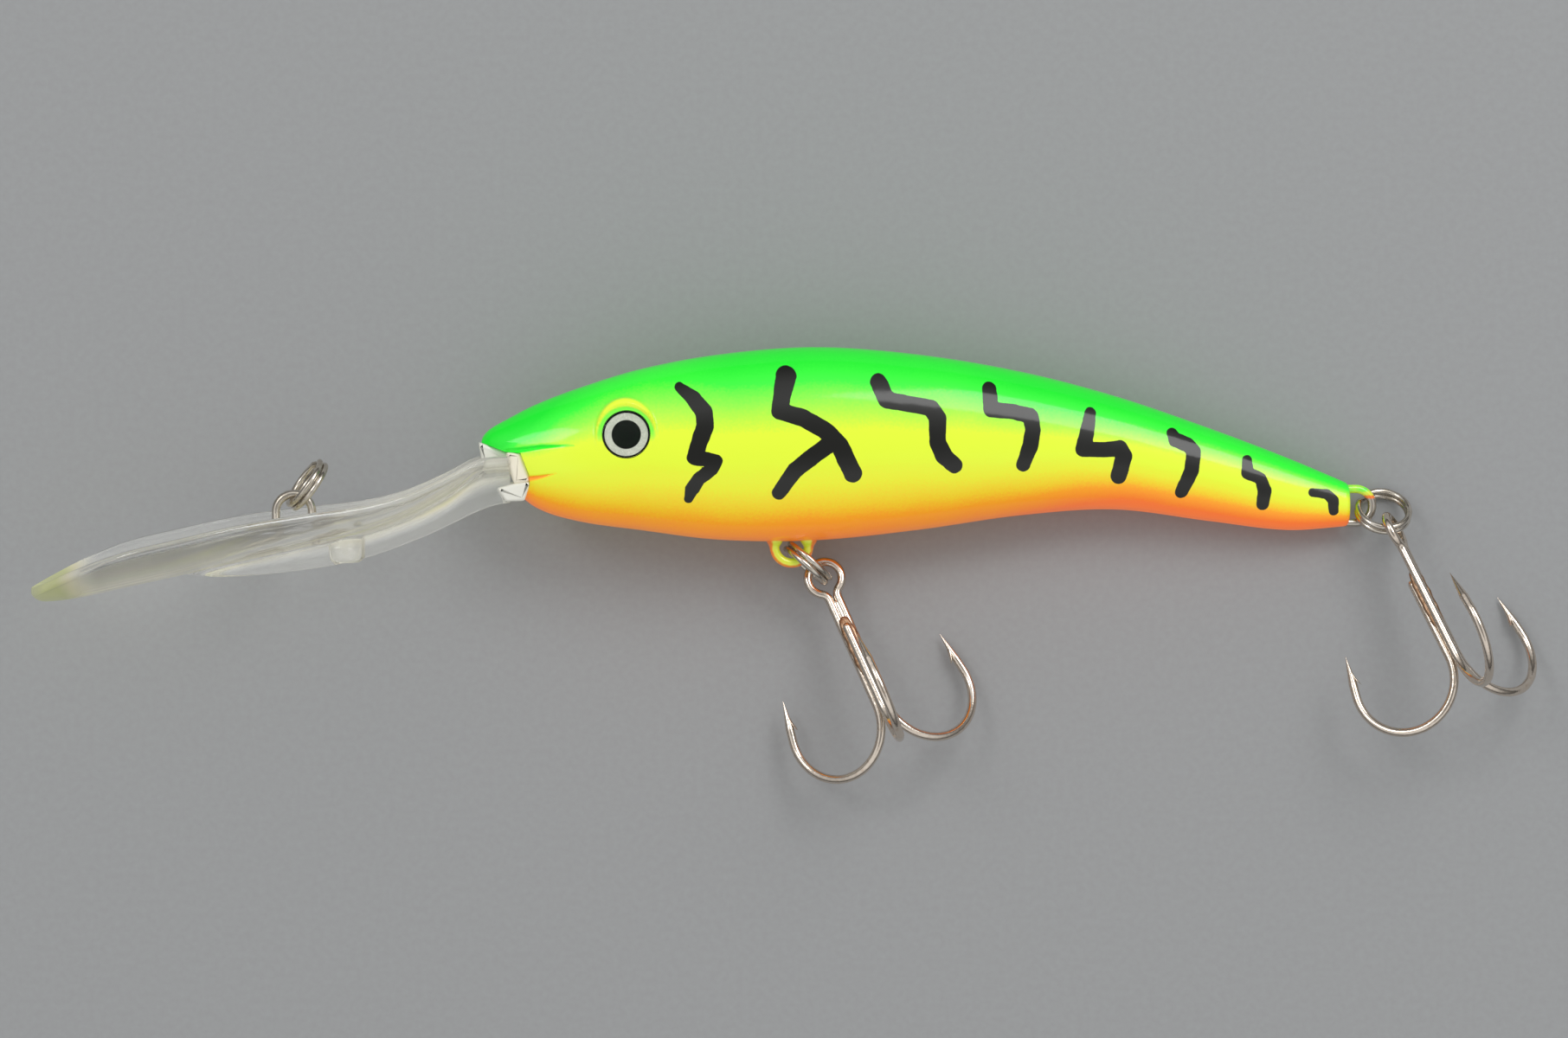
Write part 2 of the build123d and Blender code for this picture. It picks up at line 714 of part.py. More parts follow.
def assemble():
    """Every node where it lies, and the pivots: name to (point, axis)."""
    left, right = shells()
    tie = wire_round(tie_path(), tie_wire / 2)
    lip = lip_blade() + lip_keel() + lip_boss() + lip_root()
    lip -= wire_round(tie_path(), tie_wire / 2 + wire_bed)
    slug = Cylinder(ballast_radius, ballast_length)
    body = {
        "shell_left": left,
        "shell_right": right,
        "diving_lip": lip,
        "line_tie_wire": tie,
        "belly_hanger": wire_round(hanger_path(), hanger_wire / 2),
        "tail_hanger": wire_round(tail_path(), tail_wire / 2),
        "eye_foil_left": eye_foil(1),
        "eye_foil_right": eye_foil(-1),
        "eye_dome_left": eye_dome(1),
        "eye_dome_right": eye_dome(-1),
        "belly_ballast": Pos(ballast_x + ballast_length / 2, ballast_y(), 0) * Rot(0, 90, 0) * slug,
    }
    # the balls have rolled to the tail end of their cells
    for name, x in zip(("front", "middle", "rear"), cell_centres()):
        rest = x + ball_travel / 2 - 0.05
        body[f"rattle_ball_{name}"] = Pos(rest, cell_y, 0) * Sphere(ball_radius)
    lie = laid()
    nodes = {name: lie * shape for name, shape in body.items()}
    pivots = {"balls": (Vector(0, 0, 0), turned(lie, Vector(1, 0, 0)))}

    crown = (tie_x, tie_crown_y - tie_half_width)
    wires = {
        "line_tie": (crown, tie_half_width, tie_wire),
        "belly": (hanger_centre(), hanger_half_width, hanger_wire),
        "tail": (tail_centre(), tail_half_height, tail_wire),
    }
    for name, (centre, radius, size) in wires.items():
        point, tangent = arc_point(centre, radius, RING_SEATS[name])
        at = (lie * Pos(point)).position
        axis = turned(lie, tangent)
        ring = ring_place(at, *RING_TURNS[name], size)
        nodes[f"{name}_ring"] = ring * split_ring()
        pivots[f"{name}_ring"] = (at, axis)
        if name in TREBLE_TURNS:
            hook, pivot = treble_place(ring, *TREBLE_TURNS[name])
            nodes[f"{name}_treble_double"] = hook * double_hook()
            nodes[f"{name}_treble_single"] = hook * single_hook()
            nodes[f"{name}_treble_braze"] = hook * braze()
            pivots[f"{name}_treble"] = pivot

    # onto the floor, with the middle of its outline over the origin
    box = Compound(children=[Compound(shape.solids()) for shape in nodes.values()]).bounding_box()
    shift = Vector(-box.center().X, -box.center().Y, -box.min.Z)
    nodes = {name: Pos(shift) * shape for name, shape in nodes.items()}
    pivots = {name: (point + shift, axis) for name, (point, axis) in pivots.items()}
    return nodes, pivots


def main():
    os.makedirs("parts", exist_ok=True)
    nodes, pivots = assemble()
    for name, shape in nodes.items():
        export_step(Compound(shape.solids()), f"parts/{name}.step")
    return nodes, pivots


if __name__ == "__main__":
    main()
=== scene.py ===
# %% [markdown]
# # A deep-diving crankbait
# A hollow painted body, a long clear lip, two treble hooks on split rings. The CAD gives every
# piece its place and size; here each piece gets the surface and the finish that the eye sees.
# All shapes are worked out in millimetres in the lure's swimming attitude (nose at the origin,
# tail along +X, back along +Y, left flank along +Z) and then laid on the floor as the CAD has it.

import bmesh
import bpy
import numpy as np
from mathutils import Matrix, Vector


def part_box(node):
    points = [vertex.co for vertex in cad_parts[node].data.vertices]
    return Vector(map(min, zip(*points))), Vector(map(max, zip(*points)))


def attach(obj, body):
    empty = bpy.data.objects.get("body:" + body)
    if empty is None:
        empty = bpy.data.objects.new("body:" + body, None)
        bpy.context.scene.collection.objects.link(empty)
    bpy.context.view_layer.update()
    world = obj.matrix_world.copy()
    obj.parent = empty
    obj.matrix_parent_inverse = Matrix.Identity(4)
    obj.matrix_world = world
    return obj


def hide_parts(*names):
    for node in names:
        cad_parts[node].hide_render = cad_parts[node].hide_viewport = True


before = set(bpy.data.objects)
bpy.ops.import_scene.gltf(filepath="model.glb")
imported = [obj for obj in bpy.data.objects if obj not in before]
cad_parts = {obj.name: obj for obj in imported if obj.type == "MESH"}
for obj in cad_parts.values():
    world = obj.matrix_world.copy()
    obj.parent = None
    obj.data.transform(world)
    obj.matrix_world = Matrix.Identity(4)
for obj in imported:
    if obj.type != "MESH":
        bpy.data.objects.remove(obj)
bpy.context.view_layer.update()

# %% [markdown]
# The lure lies on its right flank: rolled a little belly down and pitched head up, because its
# lip is wider than its body. The middle rattle ball is a sphere, so the centre of its box tells
# exactly where one known point of the lure ended up, and that fixes the shift.

# %% From swimming attitude to the floor
ROLL, YAW = np.radians([3.2, 3.97])
BALL_AT_REST = np.array([64.3, 2.2, 0.0])


def turn_matrix():
    """Roll about X, then pitch about Y, as one matrix."""
    cr, sr, cy, sy = np.cos(ROLL), np.sin(ROLL), np.cos(YAW), np.sin(YAW)
    roll = np.array([[1, 0, 0], [0, cr, -sr], [0, sr, cr]])
    pitch = np.array([[cy, 0, sy], [0, 1, 0], [-sy, 0, cy]])
    return pitch @ roll


TURN = turn_matrix()
ball_box = np.array([list(corner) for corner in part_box("rattle_ball_middle")])
SHIFT = ball_box.mean(0) * 1000 - TURN @ BALL_AT_REST


def laid(points):
    """Points in swimming millimetres, turned and shifted to where the lure lies."""
    return np.asarray(points) @ TURN.T + SHIFT


print("nose lies at", laid([0, 0, 0]).round(2), "mm")

# %% [markdown]
# Every new surface is a grid of points: rows along one parameter, columns along the other. A
# quad joins each point to its three neighbours, and a grid may wrap round to close a tube.

# %% Grids to meshes


def grid_faces(rows, columns, wrap=True):
    """Quads between neighbouring points of a grid; wrap joins the last column to the first."""
    start = np.arange(rows - 1)[:, None] * columns
    here = np.arange(columns if wrap else columns - 1)[None, :]
    there = (here + 1) % columns
    corners = [start + here, start + there, start + columns + there, start + columns + here]
    return np.stack(corners, -1).reshape(-1, 4)


def closed_grid(points):
    """A wrapped grid with a many-sided face on each end. Points are rows x columns x 3."""
    rows, columns, _ = points.shape
    faces = grid_faces(rows, columns).tolist()
    faces.append(list(range(columns))[::-1])
    faces.append(list(range((rows - 1) * columns, rows * columns)))
    return points.reshape(-1, 3), faces


def add_piece(name, points, faces, material, body, replaced, slot, sharp=50, **attributes):
    """A mesh from millimetres as the lure lies, smoothed and hung on its CAD body."""
    mesh = bpy.data.meshes.new(name)
    mesh.from_pydata((np.asarray(points) / 1000).tolist(), [], faces)
    for key, values in attributes.items():
        layer = mesh.attributes.new(key, "FLOAT", "POINT")
        layer.data.foreach_set("value", np.asarray(values, dtype=float).ravel())
    mesh.materials.append(material)
    piece = bpy.data.objects.new(name, mesh)
    bpy.context.scene.collection.objects.link(piece)
    finish_piece(piece, body, replaced, sharp)
    return piece


def outward(mesh):
    """Turns all faces of a closed mesh outwards."""
    work = bmesh.new()
    work.from_mesh(mesh)
    bmesh.ops.recalc_face_normals(work, faces=work.faces)
    work.to_mesh(mesh)
    work.free()


def finish_piece(piece, body, replaced, sharp):
    outward(piece.data)
    piece.data.shade_smooth()
    piece.data.set_sharp_from_angle(angle=np.radians(sharp))
    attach(piece, body)
    if replaced:
        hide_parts(*replaced)
    print(f"{piece.name}: {len(piece.data.polygons)} faces")


# %% [markdown]
# Colours are written as hex, the way a paint chart gives them. Blender's shaders work in linear
# light, so one function turns each hex value to linear.

# %% Colours and nodes


def colour(hex_value):
    """sRGB hex to linear RGBA."""
    parts = np.array([int(hex_value[i : i + 2], 16) for i in (1, 3, 5)]) / 255
    low, high = parts / 12.92, ((parts + 0.055) / 1.055) ** 2.4
    return (*np.where(parts <= 0.04045, low, high).tolist(), 1.0)


def node(material, kind, inputs=(), **settings):
    """Adds a node; inputs are pairs of a socket and a value or another node's output."""
    new = material.node_tree.nodes.new(kind)
    for key, value in settings.items():
        setattr(new, key, value)
    fill(material, new, inputs)
    return new


def fill(material, target, inputs):
    """Sets or links a node's inputs."""
    for key, value in inputs:
        if isinstance(value, bpy.types.NodeSocket):
            material.node_tree.links.new(value, target.inputs[key])
        else:
            target.inputs[key].default_value = value


def new_material(name, **sockets):
    """A material whose Principled shader has these sockets set."""
    material = bpy.data.materials.new(name)
    material.use_nodes = True
    shader = material.node_tree.nodes["Principled BSDF"]
    fill(material, shader, [(key.replace("_", " "), value) for key, value in sockets.items()])
    return material, shader


def ramp(material, factor, stops, **settings):
    """A colour ramp through (place, colour) stops."""
    new = node(material, "ShaderNodeValToRGB", [("Fac", factor)])
    band = new.color_ramp
    for key, value in settings.items():
        setattr(band, key, value)
    for i, (place, tint) in enumerate(stops):
        stop = band.elements[i] if i < 2 else band.elements.new(place)
        stop.position = place
        stop.color = colour(tint) if isinstance(tint, str) else tint
    return new.outputs["Color"]


def point_value(material, name):
    """A number stored on the mesh's points."""
    return node(material, "ShaderNodeAttribute", attribute_name=name).outputs["Fac"]


def own_place(material):
    """Place within the piece, in metres."""
    return node(material, "ShaderNodeTexCoord").outputs["Object"]


def noise(material, place, scale, detail):
    """Noise from 0 to 1; scale counts its grains per metre."""
    inputs = [("Vector", place), ("Scale", scale), ("Detail", detail)]
    return node(material, "ShaderNodeTexNoise", inputs).outputs["Fac"]


def calculate(material, operation, *values):
    """One sum on numbers or other nodes' outputs."""
    return node(material, "ShaderNodeMath", list(enumerate(values)), operation=operation).outputs[0]


def remap(material, value, low, high, to_low=0.0, to_high=1.0):
    """Carries low to to_low and high to to_high, and holds beyond them."""
    inputs = [("Value", value), ("From Min", low), ("From Max", high)]
    inputs += [("To Min", to_low), ("To Max", to_high)]
    return node(material, "ShaderNodeMapRange", inputs).outputs[0]


def bump(material, height, strength, distance):
    """A shading direction tilted by a height, its distance in metres."""
    inputs = [("Height", height), ("Strength", strength), ("Distance", distance)]
    return node(material, "ShaderNodeBump", inputs).outputs[0]


def mix_colours(material, factor, first, second):
    """The first colour where factor is 0, the second where it is 1."""
    inputs = [("Factor", factor), (6, first), (7, second)]
    return node(material, "ShaderNodeMix", inputs, data_type="RGBA").outputs[2]


print("helpers ready; mid grey in linear light is", round(colour("#808080")[0], 3))


# %% [markdown]
# The body is a fish seen from the side: its height and width swell and fall along its length.
# A table of a few sections, joined by a smooth curve, gives the height of the middle line, the
# half height and the half width anywhere along it, exactly as the CAD has them.

# %% The body's form
BODY_LENGTH, BODY_HEIGHT, BODY_WIDTH = 109.9, 24.4, 15.2
BODY_FORM = np.array(
    [
        (0.000, 0.070, 0.055, 0.10),
        (0.010, 0.050, 0.165, 0.24),
        (0.030, -0.010, 0.330, 0.40),
        (0.062, -0.062, 0.530, 0.57),
        (0.110, -0.049, 0.685, 0.76),
        (0.182, 0.004, 0.832, 0.91),
        (0.273, 0.031, 0.959, 0.985),
        (0.382, 0.066, 1.000, 1.00),
        (0.500, 0.082, 0.910, 0.95),
        (0.619, 0.070, 0.746, 0.83),
        (0.728, -0.025, 0.590, 0.68),
        (0.837, -0.250, 0.484, 0.53),
        (0.928, -0.451, 0.377, 0.41),
        (1.000, -0.566, 0.221, 0.28),
    ]
)


def smooth_table(rows, place):
    """Cubic curve through the rows of a table, its slope at a row that of its neighbours."""
    place = np.clip(place, rows[0, 0], rows[-1, 0])
    last = len(rows) - 2
    k = np.clip(np.searchsorted(rows[:, 0], place, side="right") - 1, 0, last)
    before, a, b = rows[np.maximum(k - 1, 0)], rows[k], rows[k + 1]
    after = rows[np.minimum(k + 2, last + 1)]
    span = (b[..., :1] - a[..., :1])
    t = (place[..., None] - a[..., :1]) / span
    slope_a = (b - before) / (b[..., :1] - before[..., :1]) * span
    slope_b = (after - a) / (after[..., :1] - a[..., :1]) * span
    rise = b - a
    bend = 3 * rise - 2 * slope_a - slope_b + t * (slope_a + slope_b - 2 * rise)
    return (a + t * (slope_a + t * bend))[..., 1:]


def body_at(x):
    """Middle height, half height and half width at x."""
    form = smooth_table(BODY_FORM, np.asarray(x) / BODY_LENGTH)
    return form[..., 0] * BODY_HEIGHT / 2, form[..., 1] * BODY_HEIGHT / 2, form[..., 2] * BODY_WIDTH / 2


print("deepest section is", round(2 * float(body_at(np.array([42.0]))[1][0]), 1), "mm high")

# %% [markdown]
# Each painted half is a D-shaped tube: the flank as half an ellipse, closed by the flat middle
# plane where it meets its mate. Raised brows, pressed mouth lines and the tiny relief at the
# parting line are all distances added along the surface's own outward direction, so that one
# function makes the whole moulding. The notch for the lip and the seats of the eyes have sharp
# edges, so those are cut afterwards with a Boolean.

# %% Moulded details of the flank
EYE = np.array([17.9, 2.3])
MOUTH_LINES = (
    ([(3.2, -0.1), (7.5, 0.6), (11.4, 0.85)], (0.40, 0.27, 0.03)),
    ([(5.4, -3.55), (7.3, -3.2), (9.3, -2.7)], (0.38, 0.24, 0.03)),
)


def step(edge_low, edge_high, value):
    """Smooth rise from 0 at edge_low to 1 at edge_high."""
    t = np.clip((value - edge_low) / (edge_high - edge_low), 0, 1)
    return t * t * (3 - 2 * t)


def line_distance(x, y, points, widths=None):
    """Distance to a line through points; with widths, less the line's half width there."""
    points = np.asarray(points, dtype=float)
    widths = np.zeros(len(points)) if widths is None else np.asarray(widths, dtype=float)
    best = np.full(np.shape(x), 1e3)
    for a, b, wa, wb in zip(points[:-1], points[1:], widths[:-1], widths[1:]):
        along = b - a
        t = np.clip(((x - a[0]) * along[0] + (y - a[1]) * along[1]) / (along @ along), 0, 1)
        away = np.hypot(x - a[0] - t * along[0], y - a[1] - t * along[1])
        best = np.minimum(best, away - (wa + t * (wb - wa)))
    return best


def brow(x, y):
    """1 on the crest of the brow over the eye, 0 off it."""
    dx, dy = x - EYE[0], y - EYE[1]
    outer = (1 - np.hypot(dx / 3.95, dy / 4.65)) * 4.3
    inner = (np.hypot(dx / 3.6, (dy + 0.35) / 3.75) - 1) * 3.7
    return step(0.0, 0.5, outer) * step(-0.15, 0.25, inner) * step(-2.4, -0.4, dy)


def relief(x, y):
    """Height of the moulded details over the plain form: brow up, mouth lines down."""
    pressed = np.zeros(np.shape(x))
    for points, widths in MOUTH_LINES:
        inside = np.clip(-line_distance(x, y, points, widths) / 0.30, 0, 1)
        pressed = np.maximum(pressed, inside * 0.30)
    return 0.42 * brow(x, y) - pressed


def half_body(side, rows=520, around=150):
    """Half of the body: half ellipses along the length, each closed across the middle plane."""
    x = BODY_LENGTH * (1 - np.cos(np.linspace(0, np.pi, rows))) / 2
    x = 0.6 * np.linspace(0, BODY_LENGTH, rows) + 0.4 * x
    turn = np.linspace(0, np.pi, around)
    turn = np.concatenate([[0, 0.004, 0.010], turn[1:-1], [np.pi - 0.010, np.pi - 0.004, np.pi]])
    centre, high, wide = (v[:, None] for v in body_at(x))
    # round off the tail's edge and the tip of the nose
    back = np.clip((x - (BODY_LENGTH - 0.6)) / 0.6, 0, 1)[:, None]
    front = np.clip((0.5 - x) / 0.5, 0, 1)[:, None]
    pull = 0.6 * (1 - np.sqrt(1 - back**2)) + 0.45 * (1 - np.sqrt(1 - front**2))
    high, wide = high - pull, np.maximum(wide - pull, 0.12)
    y = centre + high * np.cos(turn)
    z = wide * np.sin(turn)
    normal_y, normal_z = np.cos(turn) / high, np.sin(turn) / wide
    length = np.hypot(normal_y, normal_z)
    lift = relief(x[:, None] + 0 * y, y) * step(1.0, 3.0, z)
    lift = lift - 0.035 * np.exp(-((z / 0.09) ** 2))
    y, z = y + lift * normal_y / length, z + lift * normal_z / length
    z = np.maximum(z, 0.008)
    flat_y = y[:, -1:] + (y[:, :1] - y[:, -1:]) * np.linspace(0, 1, 14)[1:-1]
    y = np.concatenate([y, flat_y], 1)
    z = np.concatenate([z, np.full_like(flat_y, 0.008)], 1)
    points = np.stack([np.broadcast_to(x[:, None], y.shape), y, side * z], -1)
    return closed_grid(points)


print("brow crest over the eye at", round(float(brow(EYE[0], EYE[1] + 4.0)), 2), "of full height")

# %% [markdown]
# The lip's root fills a notch under the nose. Its outline, in side view, is pushed through both
# halves as a cutter. Each eye sits in a shallow round seat, square to the flank.

# %% Cutters
NOTCH = [(2.95, -0.11), (4.8, -0.22), (5.9, -2.95), (6.0, -4.26), (5.35, -6.3)]
EYE_RADIUS, EYE_DEPTH = 3.0, 0.75


def prism(outline, half):
    """A side-view outline pushed half to each side, as points and faces."""
    outline = np.asarray(outline, dtype=float)
    count = len(outline)
    ring = [np.column_stack([outline, np.full(count, z)]) for z in (-half, half)]
    return closed_grid(np.stack(ring))


def eye_axes(side):
    """Seat point on the flank and the eye's own three directions."""
    centre, high, wide = (float(v) for v in body_at(EYE[0]))
    flank = wide * np.sqrt(1 - ((EYE[1] - centre) / high) ** 2)
    pitch, yaw = np.radians([12.0, 6.0])
    out = np.array([-np.sin(yaw), np.sin(pitch), side * np.cos(yaw) * np.cos(pitch)])
    out /= np.linalg.norm(out)
    right = np.array([1.0, 0, 0]) - out * out[0]
    right /= np.linalg.norm(right)
    return np.array([*EYE, side * flank]), right, np.cross(out, right), out


def disc_rows(side, radii, heights, around=96):
    """Rings about the eye's axis, at these radii and heights over the flank."""
    seat, right, up, out = eye_axes(side)
    turn = np.linspace(0, 2 * np.pi, around, endpoint=False)
    circle = np.cos(turn)[:, None] * right + np.sin(turn)[:, None] * up
    radii, heights = np.asarray(radii), np.asarray(heights)
    return seat + radii[:, None, None] * circle + heights[:, None, None] * out


def cut(points, faces, cutters):
    """The shape less its cutters, as millimetres as the lure lies and faces."""
    made = []
    for i, (some_points, some_faces) in enumerate([(points, faces), *cutters]):
        mesh = bpy.data.meshes.new(f"work_{i}")
        mesh.from_pydata(np.asarray(some_points).tolist(), [], some_faces)
        made.append(bpy.data.objects.new(f"work_{i}", mesh))
        bpy.context.scene.collection.objects.link(made[-1])
        outward(mesh)
    for cutter in made[1:]:
        tool = made[0].modifiers.new("cut", "BOOLEAN")
        tool.operation, tool.solver, tool.object = "DIFFERENCE", "EXACT", cutter
    ready = made[0].evaluated_get(bpy.context.evaluated_depsgraph_get()).to_mesh()
    points = np.empty(len(ready.vertices) * 3)
    ready.vertices.foreach_get("co", points)
    faces = [list(face.vertices) for face in ready.polygons]
    for piece in made:
        bpy.data.objects.remove(piece)
    return points.reshape(-1, 3), faces


print("notch outline has", len(NOTCH), "corners; eye seat", 2 * EYE_RADIUS, "mm across")

# %% [markdown]
# Sprayed fluorescent paint over a white base, under a hard clear lacquer: the colours fade into
# each other without an edge, and the lacquer gives a second, sharper reflection. Where the green
# back ends and the orange belly begins changes along the body, so the height between belly and
# back is worked out per point and stored. The black bars are brushed on by hand with a slightly
# ragged edge, so their distance is stored too, and the shader roughens it.

# %% The pattern's stored numbers
BAR_STROKES = [
    (
        [
            (24.65, 8.1), (26.25, 6.8), (27.65, 5.0), (27.75, 3.4), (27.05, 1.4), (26.45, -0.6),
            (29.15, -1.0), (28.55, -2.1), (26.95, -3.3), (26.15, -4.6), (25.75, -5.8),
        ],
        [0.55, 0.87, 1.01, 1.01, 0.95, 0.91, 0.71, 0.76, 0.76, 0.8, 0.49],
    ),
    (
        [
            (37.95, 9.5), (37.35, 7.0), (37.05, 5.2), (40.05, 4.3), (42.75, 2.8), (44.55, 0.9),
            (46.25, -2.6),
        ],
        [1.2, 1.01, 0.98, 1.01, 1.01, 1.05, 1.05],
    ),
    (
        [
            (43.65, 1.4), (41.25, -0.4), (38.95, -2.2), (37.05, -5.0),
        ],
        [0.98, 0.98, 0.93, 0.83],
    ),
    (
        [
            (49.55, 8.8), (50.45, 6.6), (53.25, 6.1), (56.05, 5.6), (56.85, 4.4), (56.85, 1.4),
            (57.65, -0.4), (59.05, -1.6),
        ],
        [0.98, 0.98, 0.91, 0.93, 1.01, 0.95, 1.01, 0.92],
    ),
    (
        [
            (63.55, 7.9), (63.65, 5.4), (66.45, 5.1), (68.65, 4.6), (68.95, 2.8), (68.55, 0.7),
            (67.75, -1.5),
        ],
        [0.82, 0.91, 0.87, 0.91, 0.93, 0.93, 0.82],
    ),
    (
        [
            (76.35, 4.9), (75.85, 2.5), (75.35, 0.4), (78.15, 0.3), (80.05, 0.5), (80.55, -0.5),
            (79.95, -3.0),
        ],
        [0.65, 0.87, 0.89, 0.87, 0.91, 0.98, 0.95],
    ),
    (
        [
            (86.85, 2.3), (87.25, 1.5), (88.95, 0.8), (89.55, 0.0), (89.25, -2.3), (88.05, -5.0),
        ],
        [0.65, 0.87, 0.82, 0.87, 0.87, 0.76],
    ),
    (
        [
            (96.45, -1.1), (96.45, -2.7), (98.15, -3.4), (98.65, -4.9), (98.45, -6.6),
        ],
        [0.57, 0.71, 0.68, 0.79, 0.72],
    ),
    (
        [
            (104.85, -5.2), (106.75, -5.4), (107.55, -6.2), (107.65, -7.5),
        ],
        [0.44, 0.55, 0.65, 0.55],
    ),
]


GREEN_EDGE = [
    (0.0, -0.50), (2.5, -0.25), (4.5, 0.15), (9.8, 0.44), (15.2, 0.60), (20.6, 0.62), (31.3, 0.47),
    (42.2, 0.48), (58.5, 0.47), (69.5, 0.41), (80.5, 0.44), (91.6, 0.52), (102.8, 0.55),
    (108.4, 0.58),
]
ORANGE_EDGE = [
    (0.0, -1.60), (4.5, -0.78), (15.3, -0.82), (31.5, -0.81), (42.3, -0.76), (58.7, -0.79), (69.6, -0.71),
    (75.1, -0.63), (80.6, -0.56), (97.3, -0.54), (108.4, -0.50),
]


def paint_height(x, y):
    """0 where the belly's orange is half mixed in, 1 where the back's green is."""
    centre, high, _ = body_at(np.clip(x, 0, BODY_LENGTH))
    share = (y - centre) / high
    green = np.interp(x, *np.transpose(GREEN_EDGE))
    orange = np.interp(x, *np.transpose(ORANGE_EDGE))
    height = (share - orange) / (green - orange)
    # the crest of the brow missed the green, and the hollow under it caught more
    crest, (dx, dy) = brow(x, y), (x - EYE[0], y - EYE[1])
    hollow = step(4.2, 3.5, np.hypot(dx, dy)) * step(-1.6, 0.6, dy) * (1 - crest)
    height = height + (1.05 - height) * 0.9 * hollow
    height = height + (0.58 - height) * 0.9 * crest
    # brushed mouth lines, green over orange
    for (points, widths), tone in zip(MOUTH_LINES, (1.25, -0.05)):
        inside = step(0.10, -0.12, line_distance(x, y, points, widths))
        height = height + (tone - height) * inside
    return height


def bar_distance(x, y):
    """Distance to the nearest black bar's edge, negative inside."""
    best = np.full(np.shape(x), 1e3)
    for points, widths in BAR_STROKES:
        best = np.minimum(best, line_distance(x, y, points, widths))
    return best


print("bars are painted in", len(BAR_STROKES), "strokes")

# %% [markdown]
# The stored heights choose a colour from one ramp, roughened by a fine spray grain, and the
# stored distance lays the black bars over it.

# %% Fluorescent paint under clear lacquer
paint, paint_shader = new_material(
    "sprayed_fluorescent_paint",
    Roughness=0.45,
    Specular_IOR_Level=0.2,
    Coat_Weight=0.8,
    Coat_Roughness=0.10,
    Coat_IOR=1.45,
)
height = point_value(paint, "paint_height")
edge = point_value(paint, "bar_distance")
where = own_place(paint)
# spray grains are about 0.15 mm, drawn at 0.3 mm so that they show
mist = noise(paint, where, 3300.0, 2.0)
drift = noise(paint, where, 130.0, 3.0)
grain = calculate(paint, "MULTIPLY_ADD", mist, 0.10, height)
sway = calculate(paint, "MULTIPLY_ADD", drift, 0.10, grain)
spread = remap(paint, sway, -0.4, 1.8)
sprayed = ramp(
    paint,
    spread,
    [
        (0.114, "#FF7A32"),
        (0.227, "#FFA51C"),
        (0.280, "#F6CE18"),
        (0.364, "#EDF02A"),
        (0.455, "#E9FF38"),
        (0.570, "#E9FF38"),
        (0.614, "#C8FF40"),
        (0.680, "#8CFF40"),
        (0.750, "#34FF38"),
        (0.860, "#12F02E"),
    ],
)
# a brushed edge wanders by about 0.1 mm
ragged = noise(paint, where, 900.0, 3.0)
wander = calculate(paint, "MULTIPLY_ADD", ragged, 0.22, edge)
black = remap(paint, wander, 0.17, 0.24, 1.0, 0.0)
finish = mix_colours(paint, black, sprayed, colour("#0A0B06"))
# painted light: the paint gives off light of its own, 0.06 of its colour for its fluorescence, rising to
# 0.30 down towards the belly to lift it out of the body's own shade
fluorescence_and_painted_light = remap(paint, spread, 0.05, 0.42, 0.30, 0.06)
fill(
    paint,
    paint_shader,
    [
        ("Base Color", finish),
        ("Emission Color", finish),
        ("Emission Strength", fluorescence_and_painted_light),
    ],
)
# the lacquer levels out with a faint orange-peel, 1 mm across
peel = noise(paint, where, 700.0, 1.0)
level = bump(paint, peel, 0.03, 0.0003)
fill(paint, paint_shader, [("Coat Normal", level)])
print("paint shader:", len(paint.node_tree.nodes), "nodes")

# %% [markdown]
# Both halves come from one function, mirrored, with the notch and the eye's seat cut out.

# %% The two painted halves
for side, word in ((1, "left"), (-1, "right")):
    points, faces = half_body(side)
    notch = prism([(-6.0, 3.2), *NOTCH, (NOTCH[-1][0] - 1.0, -16.0), (-6.0, -16.0)], 12.0)
    seat = disc_rows(side, [EYE_RADIUS + 0.05] * 2, [-EYE_DEPTH, 2.5])
    points, faces = cut(points, faces, [notch, closed_grid(seat)])
    add_piece(
        f"painted_half_{word}",
        laid(points),
        faces,
        paint,
        "lure",
        [f"shell_{word}"],
        "paint",
        sharp=38,
        paint_height=paint_height(points[:, 0], points[:, 1]),
        bar_distance=bar_distance(points[:, 0], points[:, 1]),
    )

# %% [markdown]
# Each eye is a printed disc under a clear domed lens. The print is rings about the eye's axis,
# so the disc stores how far each point is from that axis and a colour ramp draws the rings.

# %% Printed eyes and their lenses
eye_print, eye_shader = new_material(
    "printed_eye_disc", Roughness=0.6, Specular_IOR_Level=0.0
)
radius = point_value(eye_print, "radius")
eye_where = own_place(eye_print)
# flakes in the ink are 0.05 mm, drawn at 0.25 mm so that they show
flakes = node(eye_print, "ShaderNodeTexVoronoi", [("Vector", eye_where), ("Scale", 4200.0)])
speckle = ramp(
    eye_print,
    flakes.outputs["Distance"],
    [(0.0, "#2C4A2E"), (0.28, "#070D08")],
)
silver = ramp(
    eye_print, flakes.outputs["Distance"], [(0.0, "#C4C8BA"), (0.6, "#AEB2A4")]
)
ring_width = remap(eye_print, radius, 0.0, 3.2)
is_iris = ramp(
    eye_print,
    ring_width,
    [
        (0.0, "#000000"),
        (0.560, "#000000"),
        (0.585, "#FFFFFF"),
        (0.865, "#FFFFFF"),
    ],
)
is_rim = ramp(
    eye_print,
    ring_width,
    [(0.0, "#000000"), (0.835, "#000000"), (0.855, "#FFFFFF")],
)
inked = mix_colours(eye_print, is_iris, speckle, silver)
rimmed = mix_colours(eye_print, is_rim, inked, colour("#0A0B0A"))
fill(eye_print, eye_shader, [("Base Color", rimmed)])

